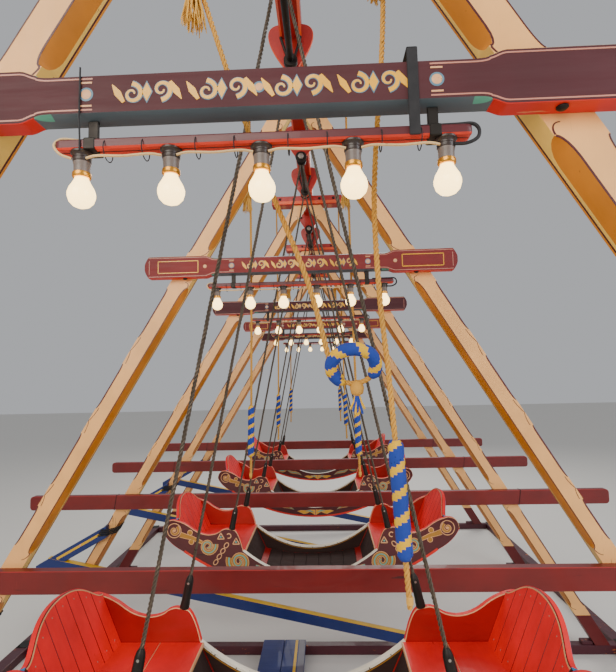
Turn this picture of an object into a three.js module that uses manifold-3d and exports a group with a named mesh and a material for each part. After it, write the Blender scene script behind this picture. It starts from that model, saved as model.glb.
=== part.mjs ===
// Row of four Victorian fairground swing boats on five timber A-frames.
// Millimetres, +Z up. The boats swing along X, and the row runs along Y.
import * as THREE from 'three';
import { mergeVertices } from 'three/addons/utils/BufferGeometryUtils.js';
import Module from 'manifold-3d';

const wasm = await Module();
wasm.setup();

// Driving dimensions
const BOATS = 4;
const BAY = 1600;
const SEAT_GAP = 0.3;
const LEG_SLOPE = 0.6;
const LEG_APEX_Z = 4132;
const LEG_TOP_Z = 4017;
const LEG_WIDTH = 106;
const LEG_DEPTH = 75;
const SILL_HEIGHT = 75;
const SILL_WIDTH = 110;
const CROSS_SILL_WIDTH = 75;
const SILL_SIDE_X = 2620;
const HEAD_LENGTH = 660;
const HEAD_DEPTH = 120;
const HEAD_HEIGHT = 85;
const ROPE_X = 300;
const ROPE_Y = 82;
const LUG_SIZE = new THREE.Vector3(30, 44, 40);
const RIDGE_WIDTH = 110;
const RIDGE_HEIGHT = 150;
const PIVOT_Z = 3950;
const PIVOT_RADIUS = 16;
const PIVOT_PLAY = 1.2;
const BOARD_Z = 3053;
const BOARD_HALF = 890;
const BOARD_WAIST = 500;
const BOARD_HEIGHT = 124;
const BOARD_WAIST_HEIGHT = 100;
const BOARD_THICKNESS = 48;
const RAIL_Z = 1325;
const RAIL_HALF = 2550;
const RAIL_HEIGHT = 122;
const RAIL_THICKNESS = 55;
const LAMP_BAR_MARGIN = 54;
const LAMP_BAR_DEPTH = 44;
const LAMP_BAR_HEIGHT = 24;
const LAMP_BAR_Z = 2941;
const LAMP_PITCH_FIVE = 203;
const LAMP_PITCH_SIX = 190;
const BULB_RADIUS = 30;
const PLANK_WIDTH = 370;
const PLANK_X = -280;
const PLANK_THICKNESS = 35;
const LEVER_THICKNESS = 60;
const LEVER_HEIGHT = 90;
const BOAT_BEAM = 580;
const SIDE_THICKNESS = 28;
const HULL_BOTTOM_Z = 1000;
const HULL_BOTTOM_RADIUS = 1500;
const SEAT_Z = 1265;
const SEAT_FRONT_X = 440;
const SEAT_BACK_X = 800;
const BACK_LEAN = 0.4;
const BACK_CORNER = 225;
const BACK_MIDDLE = 337;
const BACK_THICKNESS = 26;
const BACK_FOOT = 10;
const ROD_X = 522;
const ROD_Z = 1402;
const ROD_RADIUS = 8;
const SOCKET_RADIUS = 20;
const SOCKET_LENGTH = 140;
const ROPE_RADIUS = 7.5;
const SALLY_RADIUS = 19;
const RING_RADIUS = 54;
const RING_THICKNESS = 17;

// Values worked out from the driving dimensions
const LEG_ANGLE = Math.atan(LEG_SLOPE);
const LEG_SPAN = LEG_WIDTH / Math.cos(LEG_ANGLE);
const HEAD_Z = LEG_TOP_Z + SEAT_GAP;
const RIDGE_Z = HEAD_Z + HEAD_HEIGHT + SEAT_GAP;
const FRONT_Y = -LEG_DEPTH / 2 - SEAT_GAP;
const FIRST_FRAME_Y = -BAY * BOATS / 2;

const material = (color, roughness, metalness = 0) => (
  new THREE.MeshStandardMaterial({ color, roughness, metalness })
);
const cream = material(0xe8c184, 0.45);
const maroon = material(0x5a1016, 0.45);
const red = material(0x8f1712, 0.4);
const boatRed = material(0xd81a12, 0.35);
const blue = material(0x1b2f78, 0.45);
const lampRed = material(0xb8301c, 0.4);
const iron = material(0x2b2622, 0.5, 0.8);
const hemp = material(0xb98a3f, 0.9);

const group = new THREE.Group();

function solidOf(geometry) {
  const bare = geometry.clone();
  bare.deleteAttribute('normal');
  bare.deleteAttribute('uv');
  const merged = mergeVertices(bare, 1e-3);
  const vertProperties = new Float32Array(merged.attributes.position.array);
  const triVerts = new Uint32Array(merged.index.array);
  return new wasm.Manifold(new wasm.Mesh({ numProp: 3, vertProperties, triVerts }));
}

function geometryOf(solid) {
  const data = solid.getMesh();
  const geometry = new THREE.BufferGeometry();
  geometry.setAttribute('position', new THREE.BufferAttribute(data.vertProperties, 3));
  geometry.setIndex(new THREE.BufferAttribute(data.triVerts, 1));
  geometry.computeVertexNormals();
  return geometry;
}

function place(name, geometry, finish, y = 0) {
  const mesh = new THREE.Mesh(geometry, finish);
  mesh.name = name;
  mesh.position.y = y;
  group.add(mesh);
}

function join(geometries) {
  const solids = geometries.map(solidOf);
  return solids.reduce((whole, next) => whole.add(next));
}

function box(width, depth, height, x, y, z) {
  const geometry = new THREE.BoxGeometry(width, depth, height);
  geometry.translate(x, y, z);
  return geometry;
}

// A profile drawn in X and Z, given a thickness along Y about y = 0.
function acrossY(shape, thickness, curveSegments = 12) {
  const geometry = new THREE.ExtrudeGeometry(shape, {
    depth: thickness,
    bevelEnabled: false,
    curveSegments,
  });
  geometry.translate(0, 0, -thickness / 2);
  geometry.rotateX(Math.PI / 2);
  return geometry;
}

function polygon(points) {
  return new THREE.Shape(points.map(([x, z]) => new THREE.Vector2(x, z)));
}

// A round bar between two points, with a radius at each end.
function bar(from, to, radiusFrom, radiusTo = radiusFrom, sides = 8) {
  const along = new THREE.Vector3().subVectors(to, from);
  const geometry = new THREE.CylinderGeometry(radiusTo, radiusFrom, along.length(), sides);
  const up = new THREE.Vector3(0, 1, 0);
  const turn = new THREE.Quaternion().setFromUnitVectors(up, along.clone().normalize());
  geometry.applyQuaternion(turn);
  geometry.translate((from.x + to.x) / 2, (from.y + to.y) / 2, (from.z + to.z) / 2);
  return geometry;
}

const legCentreX = (z) => LEG_SLOPE * (LEG_APEX_Z - z);

// Legs: one sloping timber each side, cut level at the sill and under the head bar.
function legGeometry(side) {
  const foot = SILL_HEIGHT + SEAT_GAP;
  const edge = (z, out) => [side * (legCentreX(z) + out * LEG_SPAN / 2), z];
  const outline = [edge(foot, -1), edge(foot, 1), edge(LEG_TOP_Z, 1), edge(LEG_TOP_Z, -1)];
  return acrossY(polygon(outline), LEG_DEPTH);
}

// Head bar: caps the two legs and carries a rope lug near each end.
function headGeometry() {
  const z = HEAD_Z + HEAD_HEIGHT / 2;
  const pieces = [box(HEAD_LENGTH, HEAD_DEPTH, HEAD_HEIGHT, 0, 0, z)];
  for (const side of [-1, 1]) {
    const lugY = HEAD_DEPTH / 2 + LUG_SIZE.y / 2 - 1;
    pieces.push(box(LUG_SIZE.x, LUG_SIZE.y, LUG_SIZE.z, side * ROPE_X, lugY, z));
  }
  return geometryOf(join(pieces));
}

// Board: waisted between the legs, full height in front of them.
function boardGeometry() {
  const shape = new THREE.Shape();
  const tall = BOARD_HEIGHT / 2;
  const slim = BOARD_WAIST_HEIGHT / 2;
  const step = 40;
  const outline = [
    [-BOARD_HALF + 25, -tall], [-BOARD_WAIST - step, -tall], [-BOARD_WAIST, -slim],
    [BOARD_WAIST, -slim], [BOARD_WAIST + step, -tall], [BOARD_HALF - 25, -tall],
  ];
  shape.moveTo(outline[0][0], outline[0][1]);
  outline.slice(1).forEach(([x, z]) => shape.lineTo(x, z));
  shape.quadraticCurveTo(BOARD_HALF + 25, 0, BOARD_HALF - 25, tall);
  outline.slice(1, 5).reverse().forEach(([x, z]) => shape.lineTo(x, -z));
  shape.lineTo(-BOARD_HALF + 25, tall);
  shape.quadraticCurveTo(-BOARD_HALF - 25, 0, -BOARD_HALF + 25, -tall);
  const geometry = acrossY(shape, BOARD_THICKNESS, 6);
  geometry.translate(0, FRONT_Y - BOARD_THICKNESS / 2, BOARD_Z);
  return geometry;
}

// Lamp bar: a batten under the board with a row of holders and bulbs, on two straps.
function lampBarGeometry(count, pitch) {
  const y = FRONT_Y - BOARD_THICKNESS / 2;
  const underside = LAMP_BAR_Z - LAMP_BAR_HEIGHT / 2;
  const strapTop = BOARD_Z - BOARD_WAIST_HEIGHT / 2 - SEAT_GAP;
  const length = (count - 1) * pitch + 2 * LAMP_BAR_MARGIN;
  const pieces = [box(length, LAMP_BAR_DEPTH, LAMP_BAR_HEIGHT, 0, y, LAMP_BAR_Z)];
  for (const side of [-1, 1]) {
    const strapZ = (strapTop + LAMP_BAR_Z) / 2;
    pieces.push(box(26, 20, strapTop - LAMP_BAR_Z, side * 380, y, strapZ));
  }
  const profile = [
    [0, 8], [22, 8], [19, -57], [15, -66], [BULB_RADIUS, -95], [BULB_RADIUS * 0.6, -121],
    [0, -127],
  ].reverse();
  for (let i = 0; i < count; i += 1) {
    const lamp = new THREE.LatheGeometry(profile.map(([r, z]) => new THREE.Vector2(r, z)), 8);
    lamp.rotateX(Math.PI / 2);
    lamp.translate((i - (count - 1) / 2) * pitch, y, underside);
    pieces.push(lamp);
  }
  return geometryOf(join(pieces));
}

// Rail: a long level timber with rounded ends across the front of each frame.
function railGeometry() {
  const round = RAIL_HEIGHT / 2;
  const shape = new THREE.Shape();
  const corner = 30;
  shape.moveTo(-RAIL_HALF + corner, -round);
  shape.lineTo(RAIL_HALF - corner, -round);
  shape.quadraticCurveTo(RAIL_HALF, -round, RAIL_HALF, -round + corner);
  shape.lineTo(RAIL_HALF, round - corner);
  shape.quadraticCurveTo(RAIL_HALF, round, RAIL_HALF - corner, round);
  shape.lineTo(-RAIL_HALF + corner, round);
  shape.quadraticCurveTo(-RAIL_HALF, round, -RAIL_HALF, round - corner);
  shape.lineTo(-RAIL_HALF, -round + corner);
  shape.quadraticCurveTo(-RAIL_HALF, -round, -RAIL_HALF + corner, -round);
  const geometry = acrossY(shape, RAIL_THICKNESS, 4);
  geometry.translate(0, FRONT_Y - RAIL_THICKNESS / 2, RAIL_Z);
  return geometry;
}

// Brake lever: a long beam from the ground up past the left leg, and an arm back to the leg.
function leverGeometry() {
  const [lowX, highX, highZ] = [1300, -2370, 763];
  const upright = LEVER_HEIGHT * Math.hypot(1, highZ / (lowX - highX));
  const beam = [[lowX, 0], [highX, highZ], [highX, highZ + upright], [lowX, upright]];
  const [armLowX, armLowZ, armHighX, armHighZ] = [-2480, 682, -1850, 1022];
  const armUpright = LEVER_HEIGHT * Math.hypot(1, (armHighZ - armLowZ) / (armHighX - armLowX));
  const arm = [
    [armLowX, armLowZ], [armLowX, armLowZ + armUpright], [armHighX, armHighZ + armUpright],
    [armHighX, armHighZ],
  ];
  const pieces = [beam, arm].map((outline) => acrossY(polygon(outline), LEVER_THICKNESS));
  const geometry = geometryOf(join(pieces));
  geometry.translate(0, FRONT_Y - LEVER_THICKNESS / 2, 0);
  return geometry;
}

// Ridge: the long beam on the head bars, with two bearing plates under each bay.
function ridgeGeometry() {
  const length = BAY * BOATS + HEAD_DEPTH;
  const pieces = [box(RIDGE_WIDTH, length, RIDGE_HEIGHT, 0, 0, RIDGE_Z + RIDGE_HEIGHT / 2)];
  for (let i = 0; i < BOATS; i += 1) {
    for (const side of [-1, 1]) {
      const plate = acrossY(bearingShape(), 14, 5);
      plate.translate(0, boatY(i) + side * (BOAT_BEAM / 2 + 40), 0);
      pieces.push(plate);
    }
  }
  return geometryOf(join(pieces));
}

// Bearing plate: lobes beside the ridge above a rounded eye for the spindle.
function bearingShape() {
  const shape = new THREE.Shape();
  const top = RIDGE_Z + 80;
  shape.moveTo(-RIDGE_WIDTH / 2, top);
  shape.bezierCurveTo(-145, top - 10, -125, RIDGE_Z - 25, -42, PIVOT_Z + 10);
  shape.quadraticCurveTo(0, PIVOT_Z - 75, 42, PIVOT_Z + 10);
  shape.bezierCurveTo(125, RIDGE_Z - 25, 145, top - 10, RIDGE_WIDTH / 2, top);
  const hole = new THREE.Path();
  hole.absarc(0, PIVOT_Z, PIVOT_RADIUS + PIVOT_PLAY, 0, 2 * Math.PI, true);
  shape.holes.push(hole);
  return shape;
}

function boatY(index) {
  return FIRST_FRAME_Y + BAY * (index + 0.5);
}

// Boat suspension: a spindle along Y with two rods down to each side of the hull.
function suspensionGeometry() {
  const reach = BOAT_BEAM / 2 + 60;
  const end = (x, y, z) => new THREE.Vector3(x, y, z);
  const spindle = [end(0, -reach, PIVOT_Z), end(0, reach, PIVOT_Z)];
  const pieces = [bar(...spindle, PIVOT_RADIUS, PIVOT_RADIUS, 10)];
  for (const face of [-1, 1]) {
    const y = face * (BOAT_BEAM / 2 - SIDE_THICKNESS / 2);
    pieces.push(bar(end(0, y - 17, PIVOT_Z), end(0, y + 17, PIVOT_Z), 34, 34, 10));
    for (const side of [-1, 1]) {
      const top = end(0, y, PIVOT_Z);
      const foot = end(side * ROD_X, y, ROD_Z + SEAT_GAP);
      const socketTop = foot.clone().lerp(top, SOCKET_LENGTH / foot.distanceTo(top));
      pieces.push(bar(foot, top, ROD_RADIUS, ROD_RADIUS, 6));
      pieces.push(bar(foot, socketTop, SOCKET_RADIUS, SOCKET_RADIUS * 0.8));
    }
  }
  return geometryOf(join(pieces));
}

// Hull side: a crescent board with a scrolled tip and a hump under each rod.
function hullSideShape() {
  const shape = new THREE.Shape();
  const bottom = (x) => HULL_BOTTOM_Z + HULL_BOTTOM_RADIUS
    - Math.sqrt(HULL_BOTTOM_RADIUS ** 2 - x ** 2);
  const wellX = SEAT_FRONT_X + 5;
  const footSlope = ROD_X / (PIVOT_Z - ROD_Z);
  const footHalf = 21;
  const upperEdge = (side) => [
    [985 * side, 1470, 915 * side, 1468],
    [845 * side, 1455, 790 * side, 1412],
    [735 * side, 1372, 675 * side, 1370],
    [620 * side, 1372, (ROD_X + 70) * side, 1398],
    [(ROD_X + 40) * side, 1412, (ROD_X + footHalf) * side, ROD_Z + footHalf * footSlope],
  ];
  shape.moveTo(-850, bottom(850));
  for (let x = -637; x < 700; x += 213) {
    shape.lineTo(x, bottom(x));
  }
  shape.lineTo(850, bottom(850));
  shape.quadraticCurveTo(955, 1318, 988, 1395);
  upperEdge(1).forEach((curve) => shape.quadraticCurveTo(...curve));
  shape.lineTo(ROD_X - footHalf, ROD_Z - footHalf * footSlope);
  shape.quadraticCurveTo(ROD_X - 50, ROD_Z - 25, wellX, SEAT_Z);
  shape.quadraticCurveTo(230, 1095, 0, 1095);
  shape.quadraticCurveTo(-230, 1095, -wellX, SEAT_Z);
  shape.quadraticCurveTo(-ROD_X + 50, ROD_Z - 25, -ROD_X + footHalf, ROD_Z - footHalf * footSlope);
  const ends = upperEdge(-1);
  for (let i = ends.length - 1; i > 0; i -= 1) {
    const [controlX, controlZ, fromX, fromZ] = ends[i];
    if (i === ends.length - 1) {
      shape.lineTo(fromX, fromZ);
    }
    shape.quadraticCurveTo(controlX, controlZ, ends[i - 1][2], ends[i - 1][3]);
  }
  shape.quadraticCurveTo(-985, 1470, -988, 1395);
  shape.quadraticCurveTo(-955, 1318, -850, bottom(850));
  return shape;
}

// Hull core: bottom planking, seat boxes and the well between them.
function hullCoreShape() {
  const inset = 12;
  const radius = HULL_BOTTOM_RADIUS - inset;
  const skin = 30;
  const outer = (x) => HULL_BOTTOM_Z + HULL_BOTTOM_RADIUS - Math.sqrt(radius ** 2 - x ** 2);
  const floor = (x) => outer(x) + skin;
  const shape = new THREE.Shape();
  shape.moveTo(-800, outer(800));
  for (let x = -660; x <= 660; x += 165) {
    shape.lineTo(x, outer(x));
  }
  shape.lineTo(800, outer(800));
  shape.lineTo(SEAT_BACK_X + BACK_THICKNESS, SEAT_Z);
  shape.lineTo(SEAT_FRONT_X, SEAT_Z);
  shape.lineTo(365, floor(365));
  for (let x = 220; x >= -220; x -= 110) {
    shape.lineTo(x, floor(x));
  }
  shape.lineTo(-365, floor(365));
  shape.lineTo(-SEAT_FRONT_X, SEAT_Z);
  shape.lineTo(-SEAT_BACK_X - BACK_THICKNESS, SEAT_Z);
  return shape;
}

// Seat back: a leaning panel whose top edge swells in the middle.
function seatBackGeometry(side) {
  const half = BOAT_BEAM / 2 - SIDE_THICKNESS + 1;
  const shape = new THREE.Shape();
  shape.moveTo(-half, -BACK_FOOT);
  shape.lineTo(half, -BACK_FOOT);
  shape.lineTo(half, BACK_CORNER);
  shape.bezierCurveTo(half - 60, BACK_CORNER, half - 90, BACK_MIDDLE, 0, BACK_MIDDLE);
  shape.bezierCurveTo(-half + 90, BACK_MIDDLE, -half + 60, BACK_CORNER, -half, BACK_CORNER);
  const geometry = new THREE.ExtrudeGeometry(shape, {
    depth: BACK_THICKNESS,
    bevelEnabled: false,
    curveSegments: 8,
  });
  geometry.rotateX(Math.PI / 2);
  geometry.rotateZ(Math.PI / 2);
  geometry.rotateY(BACK_LEAN);
  geometry.translate(SEAT_BACK_X, 0, SEAT_Z);
  if (side < 0) {
    geometry.rotateZ(Math.PI);
  }
  return geometry;
}

function hullGeometry() {
  const pieces = [acrossY(hullCoreShape(), BOAT_BEAM - 2 * SIDE_THICKNESS + 2)];
  for (const side of [-1, 1]) {
    const plate = acrossY(hullSideShape(), SIDE_THICKNESS, 4);
    plate.translate(0, side * (BOAT_BEAM - SIDE_THICKNESS) / 2, 0);
    pieces.push(plate);
    pieces.push(seatBackGeometry(side));
  }
  return geometryOf(join(pieces));
}

// Ropes: each hangs from a lug and ends in a thick woollen grip and a short tail.
const ropeTop = HEAD_Z + HEAD_HEIGHT / 2 - LUG_SIZE.z / 2 - 2 * SEAT_GAP;

function ropeTube(points, steps) {
  const path = new THREE.CatmullRomCurve3(points.map(([x, z]) => new THREE.Vector3(x, ROPE_Y, z)));
  const section = new THREE.Shape();
  section.absarc(0, 0, ROPE_RADIUS, 0, 2 * Math.PI);
  return new THREE.ExtrudeGeometry(section, { steps, curveSegments: 4, extrudePath: path });
}

function grippedRope(points, grip) {
  const [from, to] = grip.map(([x, z]) => new THREE.Vector3(x, ROPE_Y, z));
  return geometryOf(join([ropeTube(points, 20), bar(from, to, SALLY_RADIUS, SALLY_RADIUS, 10)]));
}

// A rope that hangs free, to the left or right of a frame.
function hangingRope(side) {
  const points = [
    [ROPE_X, ropeTop], [ROPE_X, 3400], [302, 2900], [308, 2400], [315, 1950], [318, 1830],
  ];
  const grip = [[310, 2250], [315, 1950]];
  const toSide = ([x, z]) => [side * x, z];
  return grippedRope(points.map(toSide), grip.map(toSide));
}

// The first frame's right rope, which the gathered left one pulls a little inwards.
function bowedRope() {
  const points = [
    [ROPE_X, ropeTop], [303, 3362], [269, 2956], [262, 2818], [269, 2586], [281, 2438],
    [292, 2261], [306, 1983], [312, 1874],
  ];
  return grippedRope(points, [[292, 2261], [306, 1983]]);
}

// The first frame's left rope, drawn across to a ring made of its own grip.
function gatheredRope() {
  const ringX = 198;
  const ringZ = 2438;
  const tilt = 0.7;
  const ring = new THREE.TorusGeometry(RING_RADIUS, RING_THICKNESS, 8, 18);
  ring.rotateX(Math.PI / 2 + tilt);
  ring.translate(ringX, ROPE_Y, ringZ);
  const points = [
    [-ROPE_X, ropeTop], [-ROPE_X, 3900], [-212, 3576], [-151, 3363], [-60, 3070], [12, 2865],
    [94, 2642], [ringX - RING_RADIUS, ringZ],
  ];
  return geometryOf(join([ropeTube(points, 26), ring]));
}

for (let i = 0; i <= BOATS; i += 1) {
  const y = FIRST_FRAME_Y + BAY * i;
  const number = i + 1;
  place(`frame_${number}_leg_left`, legGeometry(-1), cream, y);
  place(`frame_${number}_leg_right`, legGeometry(1), cream, y);
  place(`head_bar_${number}`, headGeometry(), red, y);
  place(`sign_board_${number}`, boardGeometry(), maroon, y);
  const lamps = i === 0 ? lampBarGeometry(5, LAMP_PITCH_FIVE) : lampBarGeometry(6, LAMP_PITCH_SIX);
  place(`lamp_bar_${number}`, lamps, lampRed, y);
  place(`cross_rail_${number}`, railGeometry(), red, y);
  const sillLength = 2 * SILL_SIDE_X - SILL_WIDTH - 2 * SEAT_GAP;
  const sill = box(sillLength, CROSS_SILL_WIDTH, SILL_HEIGHT, 0, 0, SILL_HEIGHT / 2);
  place(`ground_sill_${number}`, sill, maroon, y);
  if (i > 0) {
    place(`brake_lever_${i}`, leverGeometry(), blue, y);
  }
}

for (const [name, side] of [['left', -1], ['right', 1]]) {
  const length = BAY * BOATS + CROSS_SILL_WIDTH;
  const sill = box(SILL_WIDTH, length, SILL_HEIGHT, side * SILL_SIDE_X, 0, SILL_HEIGHT / 2);
  place(`side_sill_${name}`, sill, maroon);
}

// Plank: lies on the first three ground sills and ends on the middle one.
const plankZ = SILL_HEIGHT + SEAT_GAP + PLANK_THICKNESS / 2;
const plankStart = FIRST_FRAME_Y - CROSS_SILL_WIDTH / 2;
const plank = box(PLANK_WIDTH, -plankStart, PLANK_THICKNESS, PLANK_X, plankStart / 2, plankZ);
place('brake_plank', plank, blue);
place('ridge_beam', ridgeGeometry(), red);

for (let i = 0; i < BOATS; i += 1) {
  const number = i + 1;
  const frameY = FIRST_FRAME_Y + BAY * i;
  place(`boat_${number}_hull`, hullGeometry(), boatRed, boatY(i));
  place(`boat_${number}_rods`, suspensionGeometry(), iron, boatY(i));
  place(`rope_${number}_left`, i === 0 ? gatheredRope() : hangingRope(-1), hemp, frameY);
  place(`rope_${number}_right`, i === 0 ? bowedRope() : hangingRope(1), hemp, frameY);
}

export default group;
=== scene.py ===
"""Looks for a row of four fairground swing boats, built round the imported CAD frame."""
import math
import random

import bpy
import bmesh
from mathutils import Matrix, Vector


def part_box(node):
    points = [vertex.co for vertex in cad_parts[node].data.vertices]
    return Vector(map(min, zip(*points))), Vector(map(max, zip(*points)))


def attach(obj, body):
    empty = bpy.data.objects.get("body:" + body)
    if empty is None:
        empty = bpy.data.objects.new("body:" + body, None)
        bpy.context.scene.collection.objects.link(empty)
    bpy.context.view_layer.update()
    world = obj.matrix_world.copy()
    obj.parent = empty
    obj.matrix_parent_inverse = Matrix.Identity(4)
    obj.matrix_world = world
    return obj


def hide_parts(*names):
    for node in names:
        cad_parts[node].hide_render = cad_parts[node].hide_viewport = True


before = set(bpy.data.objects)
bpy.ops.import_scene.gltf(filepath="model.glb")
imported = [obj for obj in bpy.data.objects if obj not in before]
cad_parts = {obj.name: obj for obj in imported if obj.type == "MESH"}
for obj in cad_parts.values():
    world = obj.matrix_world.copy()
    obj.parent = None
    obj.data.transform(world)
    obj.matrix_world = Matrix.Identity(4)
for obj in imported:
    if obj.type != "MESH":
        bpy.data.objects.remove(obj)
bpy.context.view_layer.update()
random.seed(11)

# Sizes shared with the CAD source, in metres
BAY = 1.6
FRAME_Y = [-3.2 + BAY * i for i in range(5)]
BOAT_Y = [-2.4 + BAY * i for i in range(4)]
LEG_SLOPE = 0.6
LEG_APEX_Z = 4.132
LEG_TOP_Z = 4.017
LEG_FOOT_Z = 0.0753
LEG_SPAN = 0.106 * math.sqrt(1 + LEG_SLOPE ** 2)
LEG_HALF_DEPTH = 0.0375
FRONT_Y = -0.0378
BOARD_Z = 3.053
RAIL_Z = 1.325
LAMP_BAR_Z = 2.941
HEAD_Z = 4.0173
HEAD_HEIGHT = 0.085
SEAT_GAP = 0.0003
RIDGE_Z = HEAD_Z + HEAD_HEIGHT + SEAT_GAP
RIDGE_HALF_WIDTH = 0.055
RIDGE_HEIGHT = 0.15
PIVOT_Z = 3.95
ROPE_X = 0.3
ROPE_Y = 0.082
ROPE_RADIUS = 0.0075
GRIP_RADIUS = 0.019
RING_RADIUS = 0.054
ROPE_TOP_Z = HEAD_Z + HEAD_HEIGHT / 2 - 0.02 - 0.0006
BEAM = 0.58
SIDE = 0.028
SEAT_Z = 1.265
ROD_X = 0.522
ROD_Z = 1.402
ROD_RADIUS = 0.008
SEAT_BACK_X = 0.8
BACK_LEAN = 0.4
BACK_CORNER = 0.225
BACK_MIDDLE = 0.337
LEVER_THICK = 0.06
X, Y, Z = Vector((1, 0, 0)), Vector((0, 1, 0)), Vector((0, 0, 1))


# Camera at the photograph's viewing angle: its place, its yaw, pitch and roll in degrees, its lens in mm
CAMERA_AT = (0.1279, -4.2397, 2.419)
CAMERA_TURN = (1.976, 4.914, -1.285)
CAMERA_LENS = 24.589


def aim_camera():
    yaw, pitch, roll = (math.radians(a) for a in CAMERA_TURN)
    ahead = Vector((-math.sin(yaw) * math.cos(pitch), math.cos(yaw) * math.cos(pitch), math.sin(pitch)))
    right = Vector((math.cos(yaw), math.sin(yaw), 0))
    up = right.cross(ahead)
    rolled_right = right * math.cos(roll) + up * math.sin(roll)
    rolled_up = up * math.cos(roll) - right * math.sin(roll)
    data = bpy.data.cameras.new("camera")
    data.lens = CAMERA_LENS
    data.sensor_width = 36
    data.clip_start = 0.05
    camera = bpy.data.objects.new("camera", data)
    turn = Matrix((rolled_right, rolled_up, -ahead)).transposed()
    camera.matrix_world = Matrix.Translation(CAMERA_AT) @ turn.to_4x4()
    bpy.context.scene.collection.objects.link(camera)
    bpy.context.scene.camera = camera


aim_camera()


# Materials
def linear(code):
    parts = [int(code[i:i + 2], 16) / 255 for i in (1, 3, 5)]
    return [c / 12.92 if c <= 0.04045 else ((c + 0.055) / 1.055) ** 2.4 for c in parts] + [1.0]


def shade(colour, factor):
    return [min(1.0, c * factor) for c in colour[:3]] + [1.0]


def stepped(nodes, links, source, low, high):
    ramp = nodes.new("ShaderNodeMapRange")
    ramp.inputs["From Min"].default_value = low
    ramp.inputs["From Max"].default_value = high
    links.new(source, ramp.inputs["Value"])
    return ramp.outputs["Result"]


def noise(nodes, links, source, scale, stretch=(1, 1, 1), detail=4.0, rough=0.55):
    mapping = nodes.new("ShaderNodeMapping")
    mapping.inputs["Scale"].default_value = stretch
    links.new(source, mapping.inputs["Vector"])
    texture = nodes.new("ShaderNodeTexNoise")
    texture.inputs["Scale"].default_value = scale
    texture.inputs["Detail"].default_value = detail
    texture.inputs["Roughness"].default_value = rough
    links.new(mapping.outputs["Vector"], texture.inputs["Vector"])
    return texture.outputs["Fac"]


def mixed(nodes, links, factor, first, second):
    mix = nodes.new("ShaderNodeMix")
    mix.data_type = "RGBA"
    links.new(factor, mix.inputs["Factor"])
    for socket, value in (("A", first), ("B", second)):
        target = [s for s in mix.inputs if s.name == socket and s.type == "RGBA"][0]
        if isinstance(value, list):
            target.default_value = value
        else:
            links.new(value, target)
    return [s for s in mix.outputs if s.type == "RGBA"][0]


def finish_of(name, code, chip=None, chips=0.3, rough=0.46, coat=0.1, metal=0.0, grain=(1, 1, 1),
              bump=0.25, mottle=0.2, scratch=None, glow=0.0):
    """A paint, metal or fibre: mottled colour, chips and scratches, uneven gloss and a fine relief."""
    colour = linear(code)
    material = bpy.data.materials.new(name)
    material.use_nodes = True
    nodes, links = material.node_tree.nodes, material.node_tree.links
    shader = nodes["Principled BSDF"]
    place = nodes.new("ShaderNodeTexCoord").outputs["Object"]
    broad = noise(nodes, links, place, 5.0)
    fine = noise(nodes, links, place, 42.0, grain, 7.0, 0.62)
    spread = stepped(nodes, links, broad, 0.3, 0.7)
    paint = mixed(nodes, links, spread, shade(colour, 1 - mottle), shade(colour, 1 + mottle * 0.6))
    if scratch:
        streaks = noise(nodes, links, place, 9.0, (6, 6, 0.5), 5.0, 0.7)
        cut = stepped(nodes, links, streaks, 0.66, 0.7)
        paint = mixed(nodes, links, cut, paint, linear(scratch))
    if chip:
        edge = 0.74 - chips * 0.3
        broken = stepped(nodes, links, fine, edge, edge + 0.035)
        paint = mixed(nodes, links, broken, paint, linear(chip))
    links.new(paint, shader.inputs["Base Color"])
    gloss = stepped(nodes, links, fine, 0.2, 0.8)
    gloss.node.inputs["To Min"].default_value = max(0.05, rough - 0.1)
    gloss.node.inputs["To Max"].default_value = min(1.0, rough + 0.16)
    links.new(gloss, shader.inputs["Roughness"])
    relief = nodes.new("ShaderNodeBump")
    relief.inputs["Strength"].default_value = bump
    relief.inputs["Distance"].default_value = 0.002
    links.new(fine, relief.inputs["Height"])
    links.new(relief.outputs["Normal"], shader.inputs["Normal"])
    shader.inputs["Metallic"].default_value = metal
    shader.inputs["Coat Weight"].default_value = coat
    if glow:
        shader.inputs["Emission Color"].default_value = colour
        shader.inputs["Emission Strength"].default_value = glow
    return material


ALONG_X, ALONG_Y, ALONG_Z = (0.08, 1, 1), (1, 0.08, 1), (1, 1, 0.08)
cream = finish_of("cream_paint", "#eeb06a", "#8a5a30", 0.2, grain=ALONG_Z, mottle=0.12, scratch="#d39a58")
# The legs' inner sides: the cream paint made paler and yellower as painted lamp light falling on them
pale = finish_of("cream_paint_lamp_lit_side", "#efc45c", "#9a6a34", 0.22, grain=ALONG_Z)
mustard = finish_of("mustard_paint", "#c8790c", "#6a3a10", 0.22, grain=ALONG_Z)
orange = finish_of("orange_arris", "#d98a1c", "#7a4210", 0.2, grain=ALONG_Z)
plum = finish_of("maroon_edge_paint", "#5e1420", "#b98050", 0.18)
lining = finish_of("maroon_lining", "#470a12", chips=0.2)
foot_red = finish_of("dark_red_foot", "#5e0e10", "#2c1010", 0.34, grain=ALONG_Z)
board_maroon = finish_of("board_maroon", "#430d16", "#8a5442", 0.12, grain=ALONG_X, coat=0.0, rough=0.66)
board_red = finish_of("board_red", "#741414", "#a86a50", 0.12, grain=ALONG_X, coat=0.0, rough=0.6)
worn_cream = finish_of("worn_cream_edge", "#d9b985", "#7a5138", 0.5, grain=ALONG_X)
slate = finish_of("slate_chamfer", "#5b686e", "#3a3431", 0.26, grain=ALONG_X)
sea_green = finish_of("sea_green_stop", "#5fae92", "#3a4d44", 0.2)
pink_line = finish_of("pinstripe_pink", "#b87a68", "#6a2a2a", 0.2)
bright_red = finish_of("bright_red_paint", "#d8200c", "#e88a58", 0.2, grain=ALONG_X)
gold = finish_of("gold_ornament", "#e8a818", "#8a5a18", 0.16, rough=0.38, coat=0.2)
ochre = finish_of("ochre_ornament", "#a8731c", "#5e3a12", 0.26, rough=0.4, coat=0.2)
blue_ring = finish_of("grey_blue_ring", "#54788c", chips=0.1)
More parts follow.
